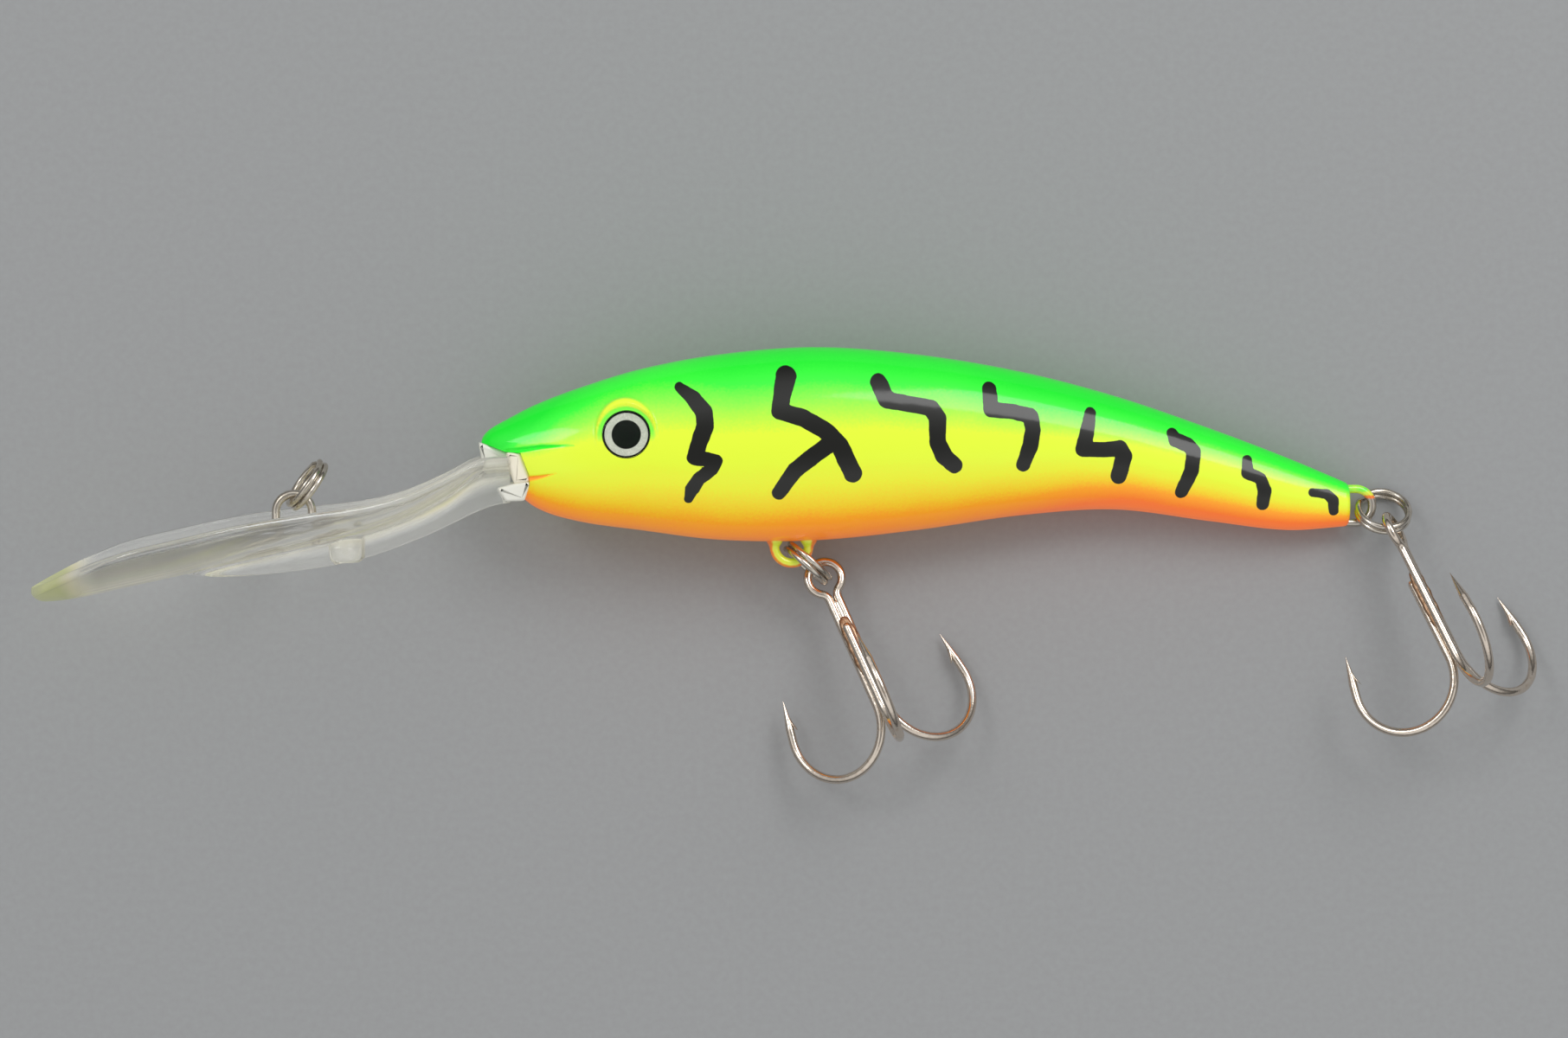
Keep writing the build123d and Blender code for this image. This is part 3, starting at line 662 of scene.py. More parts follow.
# acrylic's index is 1.49; a lower one keeps reflections off the dark pupil
lens, _ = new_material(
    "clear_acrylic_lens",
    Base_Color=(1.0, 1.0, 1.0, 1.0),
    Roughness=0.02,
    IOR=1.20,
    Specular_IOR_Level=0.3,
    Transmission_Weight=1.0,
)


def printed_disc(side):
    """Flat disc on the seat's floor with a slightly turned-down edge."""
    flat = np.linspace(0.02, EYE_RADIUS - 0.06, 60)
    radii = np.concatenate([flat, [EYE_RADIUS - 0.02, EYE_RADIUS - 0.02]])
    floor = -EYE_DEPTH + 0.25
    heights = np.concatenate([np.full(60, floor), [floor - 0.05, floor - 0.24]])
    return disc_rows(side, radii, heights), radii


def domed_lens(side):
    """A cap of a sphere; the heights follow the circle of its section."""
    edge, dome = 0.40, 0.26
    ball = (EYE_RADIUS**2 + dome**2) / (2 * dome)
    radii = np.linspace(0.03, EYE_RADIUS - 0.02, 30)
    base = -EYE_DEPTH + 0.27
    cap = base + edge + np.sqrt(ball**2 - radii**2) - (ball - dome)
    radii = np.concatenate([radii, radii[-1:], [0.03]])
    heights = np.concatenate([cap, [base, base]])
    return disc_rows(side, radii, heights)


for side, word in ((1, "left"), (-1, "right")):
    rows, radii = printed_disc(side)
    points, faces = closed_grid(rows)
    replaced, stored = [f"eye_foil_{word}"], {"radius": np.repeat(radii, rows.shape[1])}
    add_piece(f"eye_print_{word}", laid(points), faces, eye_print, "lure", replaced, "foil", **stored)
    points, faces = closed_grid(domed_lens(side))
    dome = add_piece(
        f"eye_lens_{word}", laid(points), faces, lens, "lure", [f"eye_dome_{word}"], "clear"
    )
    dome.visible_shadow = False

# %% [markdown]
# The lip is one clear polycarbonate moulding: a blade cupped like a spoon, a thin keel under it
# and a round boss that holds the line-tie wire. Seen across, its section is a shallow trough on
# top, round rims, and an underside that dips at the keel and the boss; carrying that section
# along the lip's curve makes the whole shape, so light bends through one clean solid.

# %% The lip's form
LIP_FORM = np.array(
    [
        (-3.6, -0.6, 0.05, 3.0, 3.1),
        (0.5, -1.4, 0.35, 3.3, 2.9),
        (4.8, -4.35, 1.1, 3.9, 2.7),
        (9.5, -6.6, 1.3, 4.7, 2.6),
        (15.0, -8.2, 1.5, 6.1, 2.7),
        (22.0, -9.5, 1.9, 8.3, 2.8),
        (30.0, -11.1, 2.3, 10.9, 2.9),
        (38.0, -12.95, 2.4, 12.4, 2.9),
        (45.0, -14.6, 2.3, 12.0, 2.8),
        (50.5, -16.1, 1.6, 9.5, 2.5),
        (54.2, -17.0, 0.7, 6.0, 2.0),
        (56.2, -17.5, 0.2, 2.6, 1.4),
    ]
)
KEEL_LOW = np.array(
    [
        (-5.3, -6.3), (-0.8, -7.2), (7.0, -10.8), (15.3, -13.75), (24.5, -15.3), (33.0, -15.9),
        (38.5, -15.4),
    ]
)
BOSS_AHEAD, BOSS_RADIUS, BOSS_LOW = 16.9, 2.5, -14.15
RIM, KEEL_HALF = 1.2, 1.1
NECK_HALF, TIP_ROUND, UNDER_COLUMNS = 3.4, 1.6, 79
POLYCARBONATE_INDEX = 1.58


def lip_surface(rows=300):
    """Closed sections of the lip from its root to its tip, as rows of points."""
    ahead = np.linspace(LIP_FORM[0, 0], LIP_FORM[-1, 0], rows)
    trough, cup, half, thick = (smooth_table(LIP_FORM, ahead)[:, i, None] for i in range(4))
    # the tip ends in a quarter round
    left = np.clip((ahead - (LIP_FORM[-1, 0] - TIP_ROUND)) / TIP_ROUND, 0, 1)[:, None]
    shrink = np.sqrt(1 - (0.97 * left) ** 2)
    half, thick = half * shrink, thick * (0.25 + 0.75 * shrink)
    rim = np.minimum(RIM, thick * 0.9)
    top, under = trough + cup, trough - thick
    low = np.maximum(top - rim, under + 0.1)
    across = np.sin(np.linspace(-np.pi / 2, np.pi / 2, 60))[None, :]
    upper_w, upper_y = across * half, trough + cup * across**2
    turn = np.linspace(0, np.pi, 12)[None, 1:-1]
    rim_w = half + (top - low) / 2 * np.sin(turn)
    rim_y = (top + low) / 2 + (top - low) / 2 * np.cos(turn)
    close = NECK_HALF * np.linspace(1, -1, UNDER_COLUMNS)
    wide = np.linspace(1, 0, 12)[None, :-1]
    flare = NECK_HALF + (half - NECK_HALF) * wide
    close = np.broadcast_to(close, (rows, UNDER_COLUMNS))
    lower_w = np.concatenate([flare, close, -flare[:, ::-1]], 1)
    narrow = np.minimum(1.0, half / 3.6)
    lower_w = np.where(half < 3.6, lower_w * narrow, lower_w)
    lower_w = np.clip(lower_w, -half, half)
    lower_y = under + (low - under) * (lower_w / half) ** 2
    keel_low = smooth_table(KEEL_LOW, ahead)
    keel_low = np.where((ahead < KEEL_LOW[-1, 0])[:, None], keel_low, 0.0)
    keel = 1 - step(KEEL_HALF - 0.15, KEEL_HALF + 0.6, np.abs(lower_w))
    lower_y = lower_y - np.maximum(lower_y - keel_low, 0) * keel
    reach = np.hypot(ahead[:, None] - BOSS_AHEAD, lower_w)
    boss = 1 - step(BOSS_RADIUS - 0.35, BOSS_RADIUS + 0.25, reach)
    boss_low = BOSS_LOW + 0.9 * np.clip((reach - 1.3) / 1.2, 0, 1) ** 2
    lower_y = lower_y - np.maximum(lower_y - boss_low, 0) * boss
    w = np.concatenate([upper_w, rim_w, lower_w, -rim_w[:, ::-1]], 1)
    y = np.concatenate([upper_y, rim_y, lower_y, rim_y[:, ::-1]], 1)
    x = np.broadcast_to(-ahead[:, None], y.shape)
    return np.stack([x, y, w], -1)


print("lip is", LIP_FORM[-1, 0] - LIP_FORM[0, 0], "mm long and", 2 * LIP_FORM[:, 3].max(), "mm wide")

# %% [markdown]
# The root is the thick end of the same moulding. It fills the notch in the head, with a small
# shoulder under the nose. Its walls are rounded a little, as moulded walls are.

# %% The lip's root


def rounded_slab(outline, half, edge=0.45, rows=26):
    """A side-view outline carried across the lure, drawn in at both sides by a quarter round."""
    outline = np.asarray(outline, dtype=float)
    dense = []
    for a, b in zip(outline, np.roll(outline, -1, 0)):
        dense.append(a + (b - a) * np.linspace(0, 1, 14)[:-1, None])
    dense = np.concatenate(dense)
    for _ in range(3):
        dense = (np.roll(dense, 1, 0) + 2 * dense + np.roll(dense, -1, 0)) / 4
    z = half * np.sin(np.linspace(-np.pi / 2, np.pi / 2, rows))
    inset = edge - np.sqrt(np.maximum(edge**2 - np.maximum(np.abs(z) - (half - edge), 0) ** 2, 0))
    tangent = np.roll(dense, -1, 0) - np.roll(dense, 1, 0)
    normal = np.stack([tangent[:, 1], -tangent[:, 0]], -1) / np.linalg.norm(tangent, axis=1)[:, None]
    area = np.sum(dense[:, 0] * np.roll(dense[:, 1], -1) - np.roll(dense[:, 0], -1) * dense[:, 1])
    drawn = dense[None] - np.sign(area) * inset[:, None, None] * normal[None]
    return np.concatenate([drawn, np.broadcast_to(z[:, None, None], (*drawn.shape[:2], 1))], -1)


# the clouded end that sits against the head, and the clear block under it
CLOUDED = [(3.0, -0.18), (4.85, -0.22), (5.9, -2.95), (5.97, -3.8), (4.0, -4.15)]
THROAT = [(4.0, -4.1), (5.97, -3.8), (6.0, -4.3), (5.36, -6.28), (3.0, -6.35), (1.9, -4.7)]
SHOULDER = [(-0.4, 1.08), (2.95, -0.13), (3.8, -0.25), (3.3, -1.5), (0.1, -1.7)]
print("root outlines:", len(CLOUDED), len(THROAT), len(SHOULDER), "corners")

# %% [markdown]
# Clear plastic passes most light. Haze is light that it scatters instead, so haze is taken off
# the share that passes and shows as a pale tint. A narrow pale line down the trough, a painted highlight,
# rides on the same share.

# %% Clear polycarbonate
clear, clear_shader = new_material("clear_moulded_polycarbonate", IOR=POLYCARBONATE_INDEX)
tip = point_value(clear, "tip")
middle = point_value(clear, "middle")
cloud = point_value(clear, "cloud")
flow_x = point_value(clear, "flow_x")
flow_y = point_value(clear, "flow_y")
# the melt flowed along the lip, and left streaks 1 mm wide and 25 mm long
flow_at = node(clear, "ShaderNodeCombineXYZ", [("X", flow_x), ("Y", flow_y)])
streaks = noise(clear, flow_at.outputs[0], 1.0, 3.0)
streak = remap(clear, streaks, 0.44, 0.68)
veil = calculate(clear, "MULTIPLY_ADD", streak, middle, cloud)
haze = calculate(clear, "MULTIPLY_ADD", tip, 0.62, veil)
passed = calculate(clear, "SUBTRACT", 1.0, haze)
clear_tint = ramp(clear, haze, [(0.10, "#FDFDFA"), (0.32, "#FAF8EA"), (0.50, "#F4EED0"), (0.70, "#D4D8A0")])
clear_rough = remap(clear, tip, 0.0, 1.0, 0.02, 0.22)
fill(
    clear,
    clear_shader,
    [
        ("Base Color", clear_tint),
        ("Transmission Weight", passed),
        ("Roughness", clear_rough),
    ],
)
frosted, _ = new_material(
    "clouded_polycarbonate_root",
    Base_Color=colour("#F4EDD8"),
    Roughness=0.35,
    IOR=POLYCARBONATE_INDEX,
)
points, faces = closed_grid(lip_surface())
ahead, across = -points[:, 0], points[:, 2]
# painted highlight: a narrow pale line along the middle of the trough, where a soft box's reflection runs
painted_trough_highlight = np.exp(-((across / 0.22) ** 2)) * step(-4.0, 2.0, ahead) * step(50.0, 30.0, ahead)
form = smooth_table(LIP_FORM, ahead)
deep = step(0.9, 1.6, form[:, 0] - form[:, 3] / 2 - points[:, 1])
boss = deep * step(KEEL_HALF + 0.2, KEEL_HALF + 0.5, np.abs(across))
sole = deep * step(KEEL_HALF, KEEL_HALF - 0.2, np.abs(across))
# haze over the blade, the boss and the keel's sole, plus the painted trough highlight
cloudy = 0.04 + 0.22 * (1 - deep) * np.exp(-((across / 7.0) ** 2)) + 0.38 * painted_trough_highlight
cloudy = cloudy + 0.15 * boss + 0.35 * sole
blade = add_piece(
    "clear_lip",
    laid(points),
    faces,
    clear,
    "lure",
    ["diving_lip"],
    "clear",
    sharp=45,
    tip=step(47.5, 53.5, ahead),
    middle=0.55 * np.exp(-((across / 3.2) ** 2)) * step(-3.0, 6.0, ahead) * (1 - deep) + 0.5 * boss,
    cloud=cloudy,
    flow_x=0.04 * ahead,
    flow_y=0.9 * across,
)
blade.visible_shadow = False
pale, _ = new_material(
    "pale_polycarbonate_throat",
    Base_Color=colour("#F2F2E8"),
    Roughness=0.20,
    IOR=POLYCARBONATE_INDEX,
    Transmission_Weight=0.12,
)
for name, outline, half, material in (
    ("clouded_lip_root", CLOUDED, 3.35, frosted),
    ("pale_lip_throat", THROAT, 3.30, pale),
    ("clouded_lip_shoulder", SHOULDER, 1.75, pale),
):
    points, faces = closed_grid(rounded_slab(outline, half))
    root = add_piece(name, laid(points), faces, material, "lure", [], "clear")
    root.visible_shadow = False

# %% [markdown]
# Everything else is bent wire: the line tie, two hangers, split rings and hooks. A wire is a
# circle carried along a path. The circle's own directions are turned from point to point as
# little as possible, so the tube doesn't twist. Paths are runs and arcs sampled every tenth of
# a millimetre.

# %% Wire


def tube(path, radius, around=20, tips=(True, True)):
    """Circles carried along a path, with round ends where tips says so."""
    path = np.asarray(path, dtype=float)
    radius = np.broadcast_to(np.asarray(radius, dtype=float), len(path)).copy()
    along = np.gradient(path, axis=0)
    along /= np.linalg.norm(along, axis=1)[:, None]
    bend = np.array([0.0, 0.57, 0.8, 0.93, 0.99])
    for at_end, wanted in ((False, tips[0]), (True, tips[1])):
        if not wanted:
            continue
        i, sign = (-1, 1) if at_end else (0, -1)
        reach = radius[i] * bend[1:]
        cap = path[i] + sign * reach[:, None] * along[i]
        size = radius[i] * np.sqrt(1 - bend[1:] ** 2)
        ways = np.repeat(along[i][None], len(cap), 0)
        if at_end:
            path, along = np.vstack([path, cap]), np.vstack([along, ways])
            radius = np.append(radius, size)
        else:
            path, along = np.vstack([cap[::-1], path]), np.vstack([ways, along])
            radius = np.append(size[::-1], radius)
    normals = np.empty_like(path)
    guess = np.eye(3)[np.argmin(np.abs(along[0]))]
    for i, way in enumerate(along):
        guess = guess - way * (guess @ way)
        guess /= np.linalg.norm(guess)
        normals[i] = guess
    sides = np.cross(along, normals)
    turn = np.linspace(0, 2 * np.pi, around, endpoint=False)
    circle = np.cos(turn)[None, :, None] * normals[:, None] + np.sin(turn)[None, :, None] * sides[:, None]
    return path[:, None] + radius[:, None, None] * circle


def rounded_run(points, radii, pitch=0.12):
    """A flat path through corner points, each corner rounded by its radius."""
    points = [np.asarray(p, dtype=float) for p in points]
    pieces, start = [], points[0]
    for before, corner, after, radius in zip(points[:-2], points[1:-1], points[2:], radii):
        back, ahead = before - corner, after - corner
        back, ahead = back / np.linalg.norm(back), ahead / np.linalg.norm(ahead)
        half = np.arccos(np.clip(back @ ahead, -1, 1)) / 2
        reach = radius / np.tan(half)
        centre = corner + (back + ahead) / np.linalg.norm(back + ahead) * radius / np.sin(half)
        first, last = corner + back * reach, corner + ahead * reach
        pieces.append(run(start, first, pitch))
        a = np.arctan2(*(first - centre)[::-1])
        b = np.arctan2(*(last - centre)[::-1])
        sweep = (b - a + np.pi) % (2 * np.pi) - np.pi
        pieces.append(arc(centre, radius, a, sweep, pitch)[1:])
        start = last
    pieces.append(run(start, points[-1], pitch))
    joined = np.concatenate(pieces)
    keep = np.append(True, np.linalg.norm(np.diff(joined, axis=0), axis=1) > pitch / 20)
    return joined[keep]


def run(a, b, pitch=0.12):
    """Points along a straight run."""
    a, b = np.asarray(a, dtype=float), np.asarray(b, dtype=float)
    count = max(2, int(np.linalg.norm(b - a) / pitch) + 1)
    return a + (b - a) * np.linspace(0, 1, count)[:, None]


def arc(centre, radius, start, sweep, pitch=0.12):
    """Points along an arc, from the angle start through sweep, in radians."""
    turn = start + sweep * np.linspace(0, 1, max(4, int(abs(sweep) * radius / pitch) + 1))
    return np.asarray(centre) + radius * np.stack([np.cos(turn), np.sin(turn)], -1)


def side_view(path):
    """A flat path in the lure's middle plane."""
    return np.column_stack([path, np.zeros(len(path))])


print("a half turn of 2 mm radius is", len(arc([0, 0], 2.0, 0.0, np.pi)), "points")

# %% [markdown]
# Each wire loop is a few corners, rounded by its bend.

# %% Line tie and hangers
TIE_X, TIE_CROWN, TIE_HALF, TIE_WIRE = -23.45, -5.55, 2.26, 1.07
HANGER_X, HANGER_DROP, HANGER_HALF, HANGER_WIRE = 39.1, 2.75, 2.15, 1.24
TAIL_REACH, TAIL_HALF, TAIL_WIRE = 3.0, 2.15, 1.1
TIE_FOOT, FOOT_DEPTH, WIRE_BEND, CROWN_EASE = 3.5, 3.4, 0.9, 0.05


def blade_bed(x):
    """Height of the middle of the blade's thickness at x."""
    trough, _, _, thick = smooth_table(LIP_FORM, np.array(-x))
    return float(trough - thick / 2)


def tie_run():
    front, rear = TIE_X - TIE_HALF, TIE_X + TIE_HALF
    points = [
        (front - TIE_FOOT, blade_bed(front - TIE_FOOT)),
        (front, blade_bed(front)),
        (front, TIE_CROWN),
        (rear, TIE_CROWN),
        (rear, blade_bed(rear)),
        (rear + TIE_FOOT, blade_bed(rear + TIE_FOOT)),
    ]
    crown = TIE_HALF - CROWN_EASE
    return rounded_run(points, [WIRE_BEND, crown, crown, WIRE_BEND])


def hanger_centre():
    centre, high, _ = body_at(np.array(HANGER_X))
    return np.array([HANGER_X, float(centre - high) - HANGER_DROP + HANGER_HALF])


def hanger_run():
    x, y = hanger_centre()
    half, top = HANGER_HALF, y + FOOT_DEPTH + WIRE_BEND
    points = [(x - half, top), (x - half, y - half), (x + half, y - half), (x + half, top)]
    return rounded_run(points, [half - CROWN_EASE] * 2)


def tail_centre():
    centre, _, _ = body_at(np.array(BODY_LENGTH))
    return np.array([BODY_LENGTH + TAIL_REACH - TAIL_HALF, float(centre) - 0.12])


def tail_run():
    x, y = tail_centre()
    half, inside = TAIL_HALF, BODY_LENGTH - FOOT_DEPTH
    points = [(inside, y + half), (x + half, y + half), (x + half, y - half), (inside, y - half)]
    return rounded_run(points, [half - CROWN_EASE] * 2)


print("line tie is bent from", len(tie_run()), "points")

# %% [markdown]
# The wire is steel with a bright nickel plate: a mirror with a warm tint, drawn through a die,
# which leaves faint lines along it. Handling dulls it in patches.

# %% Nickel-plated wire
nickel, nickel_shader = new_material(
    "bright_nickel_plated_steel", Base_Color=colour("#CFC8BC"), Metallic=1.0, Roughness=0.16
)
wire_where = own_place(nickel)
# dull patches about 1.5 mm across
patches = noise(nickel, wire_where, 650.0, 6.0)
dulled = remap(nickel, patches, 0.35, 0.75, 0.10, 0.34)
tint = ramp(
    nickel, patches, [(0.3, "#E0D9CE"), (0.75, "#B4AA9A")]
)
pits = noise(nickel, wire_where, 4000.0, 3.0)
pitted = bump(nickel, pits, 0.12, 0.00005)
fill(
    nickel,
    nickel_shader,
    [("Base Color", tint), ("Roughness", dulled), ("Normal", pitted)],
)

# the sprayed colours run on over the hangers
painted_wire, painted_shader = new_material(
    "paint_on_hanger_wire", Roughness=0.3, Coat_Weight=1.0, Coat_Roughness=0.08
)
cover = point_value(painted_wire, "cover")
blend_wire = own_place(painted_wire)
chips = noise(painted_wire, blend_wire, 1300.0, 4.0)
chipped = calculate(painted_wire, "MULTIPLY_ADD", chips, 0.35, cover)
tones = ramp(
    painted_wire,
    chipped,
    [(0.10, "#BDB6AA"), (0.17, "#FF7A20"), (0.36, "#FF8A1E"), (0.52, "#E8F03A"),
     (0.80, "#E2F83C"), (0.98, "#3CFF3C")],
)
bare = remap(painted_wire, chipped, 0.10, 0.16, 1.0, 0.0)
fill(painted_wire, painted_shader, [("Base Color", tones), ("Metallic", bare)])

points, faces = closed_grid(tube(side_view(tie_run()), TIE_WIRE / 2))
add_piece("line_tie", laid(points), faces, nickel, "lure", ["line_tie_wire"], "nickel")
path = side_view(hanger_run())
belly_line = hanger_centre()[1] - HANGER_HALF + HANGER_DROP
# paint gathers where the legs enter the body
gathered = 0.45 * step(belly_line - 1.2, belly_line + 0.1, path[:, 1]) ** 2
points, faces = closed_grid(tube(path, HANGER_WIRE / 2 + gathered, around=32))
off_centre = points[:, :2] - hanger_centre()
outside = (np.hypot(off_centre[:, 0], np.minimum(off_centre[:, 1], 0)) - HANGER_HALF) / HANGER_WIRE
add_piece(
    "belly_hanger_wire",
    laid(points),
    faces,
    painted_wire,
    "lure",
    ["belly_hanger"],
    "nickel",
    cover=0.60 - 0.42 * step(-0.15, 0.40, outside),
)
points, faces = closed_grid(tube(side_view(tail_run()), TAIL_WIRE / 2))
up = (points[:, 1] - tail_centre()[1]) / TAIL_HALF
add_piece(
    "tail_hanger_wire",
    laid(points),
    faces,
    painted_wire,
    "lure",
    ["tail_hanger"],
    "nickel",
    cover=0.85 * step(0.35, 0.95, up) - 0.12,
)

# %% [markdown]
# A split ring is two turns of wire side by side with one step between them. Each ring hangs on
# its wire and each treble's eye hangs in its ring, turned as gravity and the floor left them.

# %% Where the rings hang
RING_RADIUS, RING_WIRE, RING_PITCH = 3.25, 0.78, 0.82
RING_SEATS = {"line_tie": 66.0, "belly": -47.0, "tail": -6.5}
RING_TURNS = {
    "line_tie": (-36.1, -13.7, 139.7, 0.4),
    "belly": (48.8, -3.5, 62.6, 0.35),
    "tail": (83.0, 44.0, -16.0, 0.8),
}
WIRES = {
    "line_tie": (np.array([TIE_X, TIE_CROWN - TIE_HALF]), TIE_HALF, TIE_WIRE),
    "belly": (hanger_centre(), HANGER_HALF, HANGER_WIRE),
    "tail": (tail_centre(), TAIL_HALF, TAIL_WIRE),
}


def unit(vector):
    vector = np.asarray(vector, dtype=float)
    return vector / np.linalg.norm(vector)


def pointing(azimuth, elevation):
    """Unit vector by its bearing seen from above and its climb, in degrees."""
    az, el = np.radians([azimuth, elevation])
    return np.array([np.cos(el) * np.cos(az), np.cos(el) * np.sin(az), np.sin(el)])


def ring_place(name):
    """Centre and three directions of a ring, in millimetres as the lure lies."""
    centre, radius, wire = WIRES[name]
    seat = np.radians(RING_SEATS[name])
    on_wire = laid([*(centre + radius * np.array([np.cos(seat), np.sin(seat)])), 0.0])
    azimuth, elevation, wire_angle, play = RING_TURNS[name]
    axis = pointing(azimuth, elevation)
    level = unit(np.cross([0, 0, 1.0], axis))
    rise = np.cross(axis, level)
    turn = np.radians(wire_angle)
    reach = RING_RADIUS - RING_WIRE / 2 - wire / 2 - play
    return on_wire - (level * np.cos(turn) + rise * np.sin(turn)) * reach, level, rise, axis


def in_place(points, place):
    """Points in a piece's own axes, put where the piece is."""
    origin, x_way, y_way, z_way = place
    return origin + points[..., :1] * x_way + points[..., 1:2] * y_way + points[..., 2:] * z_way


def split_ring():
    """Two turns: a helix that climbs one pitch in its last tenth of a turn."""
    flat, rise = 316.0, 34.0
    turn = np.linspace(0, 2 * flat + rise, 420)
    height = RING_PITCH * (step(flat, flat + rise, turn) - 0.5)
    turn = np.radians(turn)
    return np.stack([RING_RADIUS * np.cos(turn), RING_RADIUS * np.sin(turn), height], -1)


for name in RING_TURNS:
    points, faces = closed_grid(tube(split_ring(), RING_WIRE / 2, around=18))
    place = ring_place(name)
    points, body = in_place(points, place), f"{name}_ring"
    add_piece(f"{name}_split_ring", points, faces, nickel, body, [body], "nickel")

# %% [markdown]
# A treble is a double hook, one wire bent from point to point with the eye in its middle, and a
# single hook brazed into the groove between the double's shanks. Points are ground to cones
# and each barb is a sliver cut up from the wire.

# %% Treble hooks
TREBLE_TURNS = {
    "belly": (-113.5, 1.9, -65.9, 14.1, -3.6, 207.1),
    "tail": (126.1, 1.45, -64.9, 17.9, 105.9, 202.1),
}
HOOK_WIRE, BRAZE_FILM, EYE_BEND, EYE_FLARE = 1.12, 0.06, 2.15, 1.3
SHANK, BEND, LEG, LEAN, POINT = 17.7, 6.5, 5.3, 11.0, 3.6
SINGLE_START, BRAZE_START, BRAZE_LENGTH = 7.2, 5.6, 8.5
HALF_SHANKS = (HOOK_WIRE + BRAZE_FILM) / 2
SINGLE_HIGH = np.sqrt((HOOK_WIRE + BRAZE_FILM) ** 2 - HALF_SHANKS**2)


def treble_place(name):
    """Centre of the eye and three directions of a treble, in millimetres as the lure lies."""
    angle, drop, azimuth, elevation, roll, eye_angle = TREBLE_TURNS[name]
    centre, level, rise, _ = ring_place(name)
    turn = np.radians(angle)
    rim = centre + drop * (level * np.cos(turn) + rise * np.sin(turn))
    axis = pointing(azimuth, elevation)
    up = unit(np.array([0, 0, 1.0]) - axis * axis[2])
    across = np.cross(up, axis)
    roll, turn = np.radians([roll, eye_angle])
    y_way = across * np.cos(roll) + up * np.sin(roll)
    z_way = up * np.cos(roll) - across * np.sin(roll)
    return rim - (axis * np.cos(turn) + y_way * np.sin(turn)) * EYE_BEND, axis, y_way, z_way


def hook_bend(angle, offset):
    """Bend and leg of one hook from its shank's end, with the wire's radius along them."""
    out = np.array([0, np.cos(np.radians(angle)), np.sin(np.radians(angle))])
    lean = np.radians(LEAN)
    bend = arc([SHANK, BEND], BEND, -np.pi / 2, np.pi + lean)
    way = np.array([-np.cos(lean), -np.sin(lean)])
    leg = run(bend[-1], bend[-1] + way * LEG)[1:]
    flat = np.concatenate([bend, leg])
    left = np.linalg.norm(flat[-1] - flat, axis=1)
    left[: len(bend)] = LEG
    size = HOOK_WIRE / 2 * np.clip(left / POINT, 0.05, 1) ** 0.85
    return flat[:, :1] * [1.0, 0, 0] + flat[:, 1:] * out + np.asarray(offset), size


def double_hook():
    """One wire: point, bend, shank, eye, shank, bend, point."""
    flare = EYE_BEND + EYE_FLARE
    flare_x = np.sqrt(flare**2 - (HALF_SHANKS + EYE_FLARE) ** 2)
    turn = np.arctan2(HALF_SHANKS + EYE_FLARE, flare_x)
    halves = []
    for side, angle in ((1, -30), (-1, 210)):
        bend, size = hook_bend(angle, [0, side * HALF_SHANKS, 0])
        shank = run([SHANK, HALF_SHANKS], [flare_x, HALF_SHANKS])[:-1]
        neck = arc([flare_x, HALF_SHANKS + EYE_FLARE], EYE_FLARE, -np.pi / 2, turn - np.pi / 2)
        eye = arc([0, 0], EYE_BEND, turn, np.pi - turn)[1:]
        flat = np.concatenate([shank[1:], neck[1:], eye])
        rest = np.column_stack([flat * [1, side], np.zeros(len(flat))])
        even = np.full(len(rest), HOOK_WIRE / 2)
        halves.append((np.concatenate([bend[::-1], rest]), np.concatenate([size[::-1], even])))
    (left, left_size), (right, right_size) = halves
    return np.concatenate([left, right[-2::-1]]), np.concatenate([left_size, right_size[-2::-1]])


def single_hook():
    bend, size = hook_bend(90, [0, 0, SINGLE_HIGH])
    shank = run([SINGLE_START, 0, SINGLE_HIGH], [SHANK, 0, SINGLE_HIGH])[:-1]
    return np.concatenate([shank, bend]), np.concatenate([np.full(len(shank), HOOK_WIRE / 2), size])


def barb(angle, offset, rows=14):
    """A sliver that leaves the point's cone and stands off the leg, facing the shank."""
    path, _ = hook_bend(angle, offset)
    tip, way = path[-1], unit(path[-1] - path[-12])
    out = np.array([0, np.cos(np.radians(angle)), np.sin(np.radians(angle))])
    inward = -unit(out - way * (out @ way))
    flat = np.cross(way, inward)
    t = np.linspace(0, 1, rows)[:, None]
    middle = tip - way * (POINT * 0.62 + 1.75 * t) + inward * (0.20 + 0.82 * t**1.25)
    thick, broad = 0.17 * (1 - t**1.5) + 0.02, 0.36 * (1 - 0.45 * t)
    turn = np.linspace(0, 2 * np.pi, 16, endpoint=False)
    cosine, sine = np.cos(turn)[None, :, None], np.sin(turn)[None, :, None]
    circle = cosine * inward * thick[..., None] + sine * flat * broad[..., None]
    return middle[:, None] + circle


def joined(*shapes):
    """Several closed shapes as one list of points and faces."""
    points, faces, count = [], [], 0
    for some_points, some_faces in shapes:
        points.append(some_points)
        faces += [[i + count for i in face] for face in some_faces]
        count += len(some_points)
    return np.concatenate(points), faces


def braze_rod(rows=90, around=60):
    """Brazing drawn into the grooves: a rod that necks in at both ends and is a little lumpy."""
    t = np.linspace(0, 1, rows)[:, None]
    turn = np.linspace(0, 2 * np.pi, around, endpoint=False)[None, :]
    groove = 0.5 + 0.5 * np.cos(3 * (turn + np.pi / 2))
    ends = np.sqrt(np.clip(1 - np.abs(2 * t - 1) ** 5, 0, 1))
    lumps = 0.035 * np.sin(9 * t * np.pi + 2 * turn) + 0.03 * np.sin(23 * t + turn)
    radius = (0.62 + 0.38 * groove * ends + lumps) * (0.25 + 0.75 * ends)
    x = BRAZE_START + BRAZE_LENGTH * t + 0 * turn
    y = radius * np.cos(turn)
    z = SINGLE_HIGH / 3 + radius * np.sin(turn)
    return np.stack([x, y, z], -1)


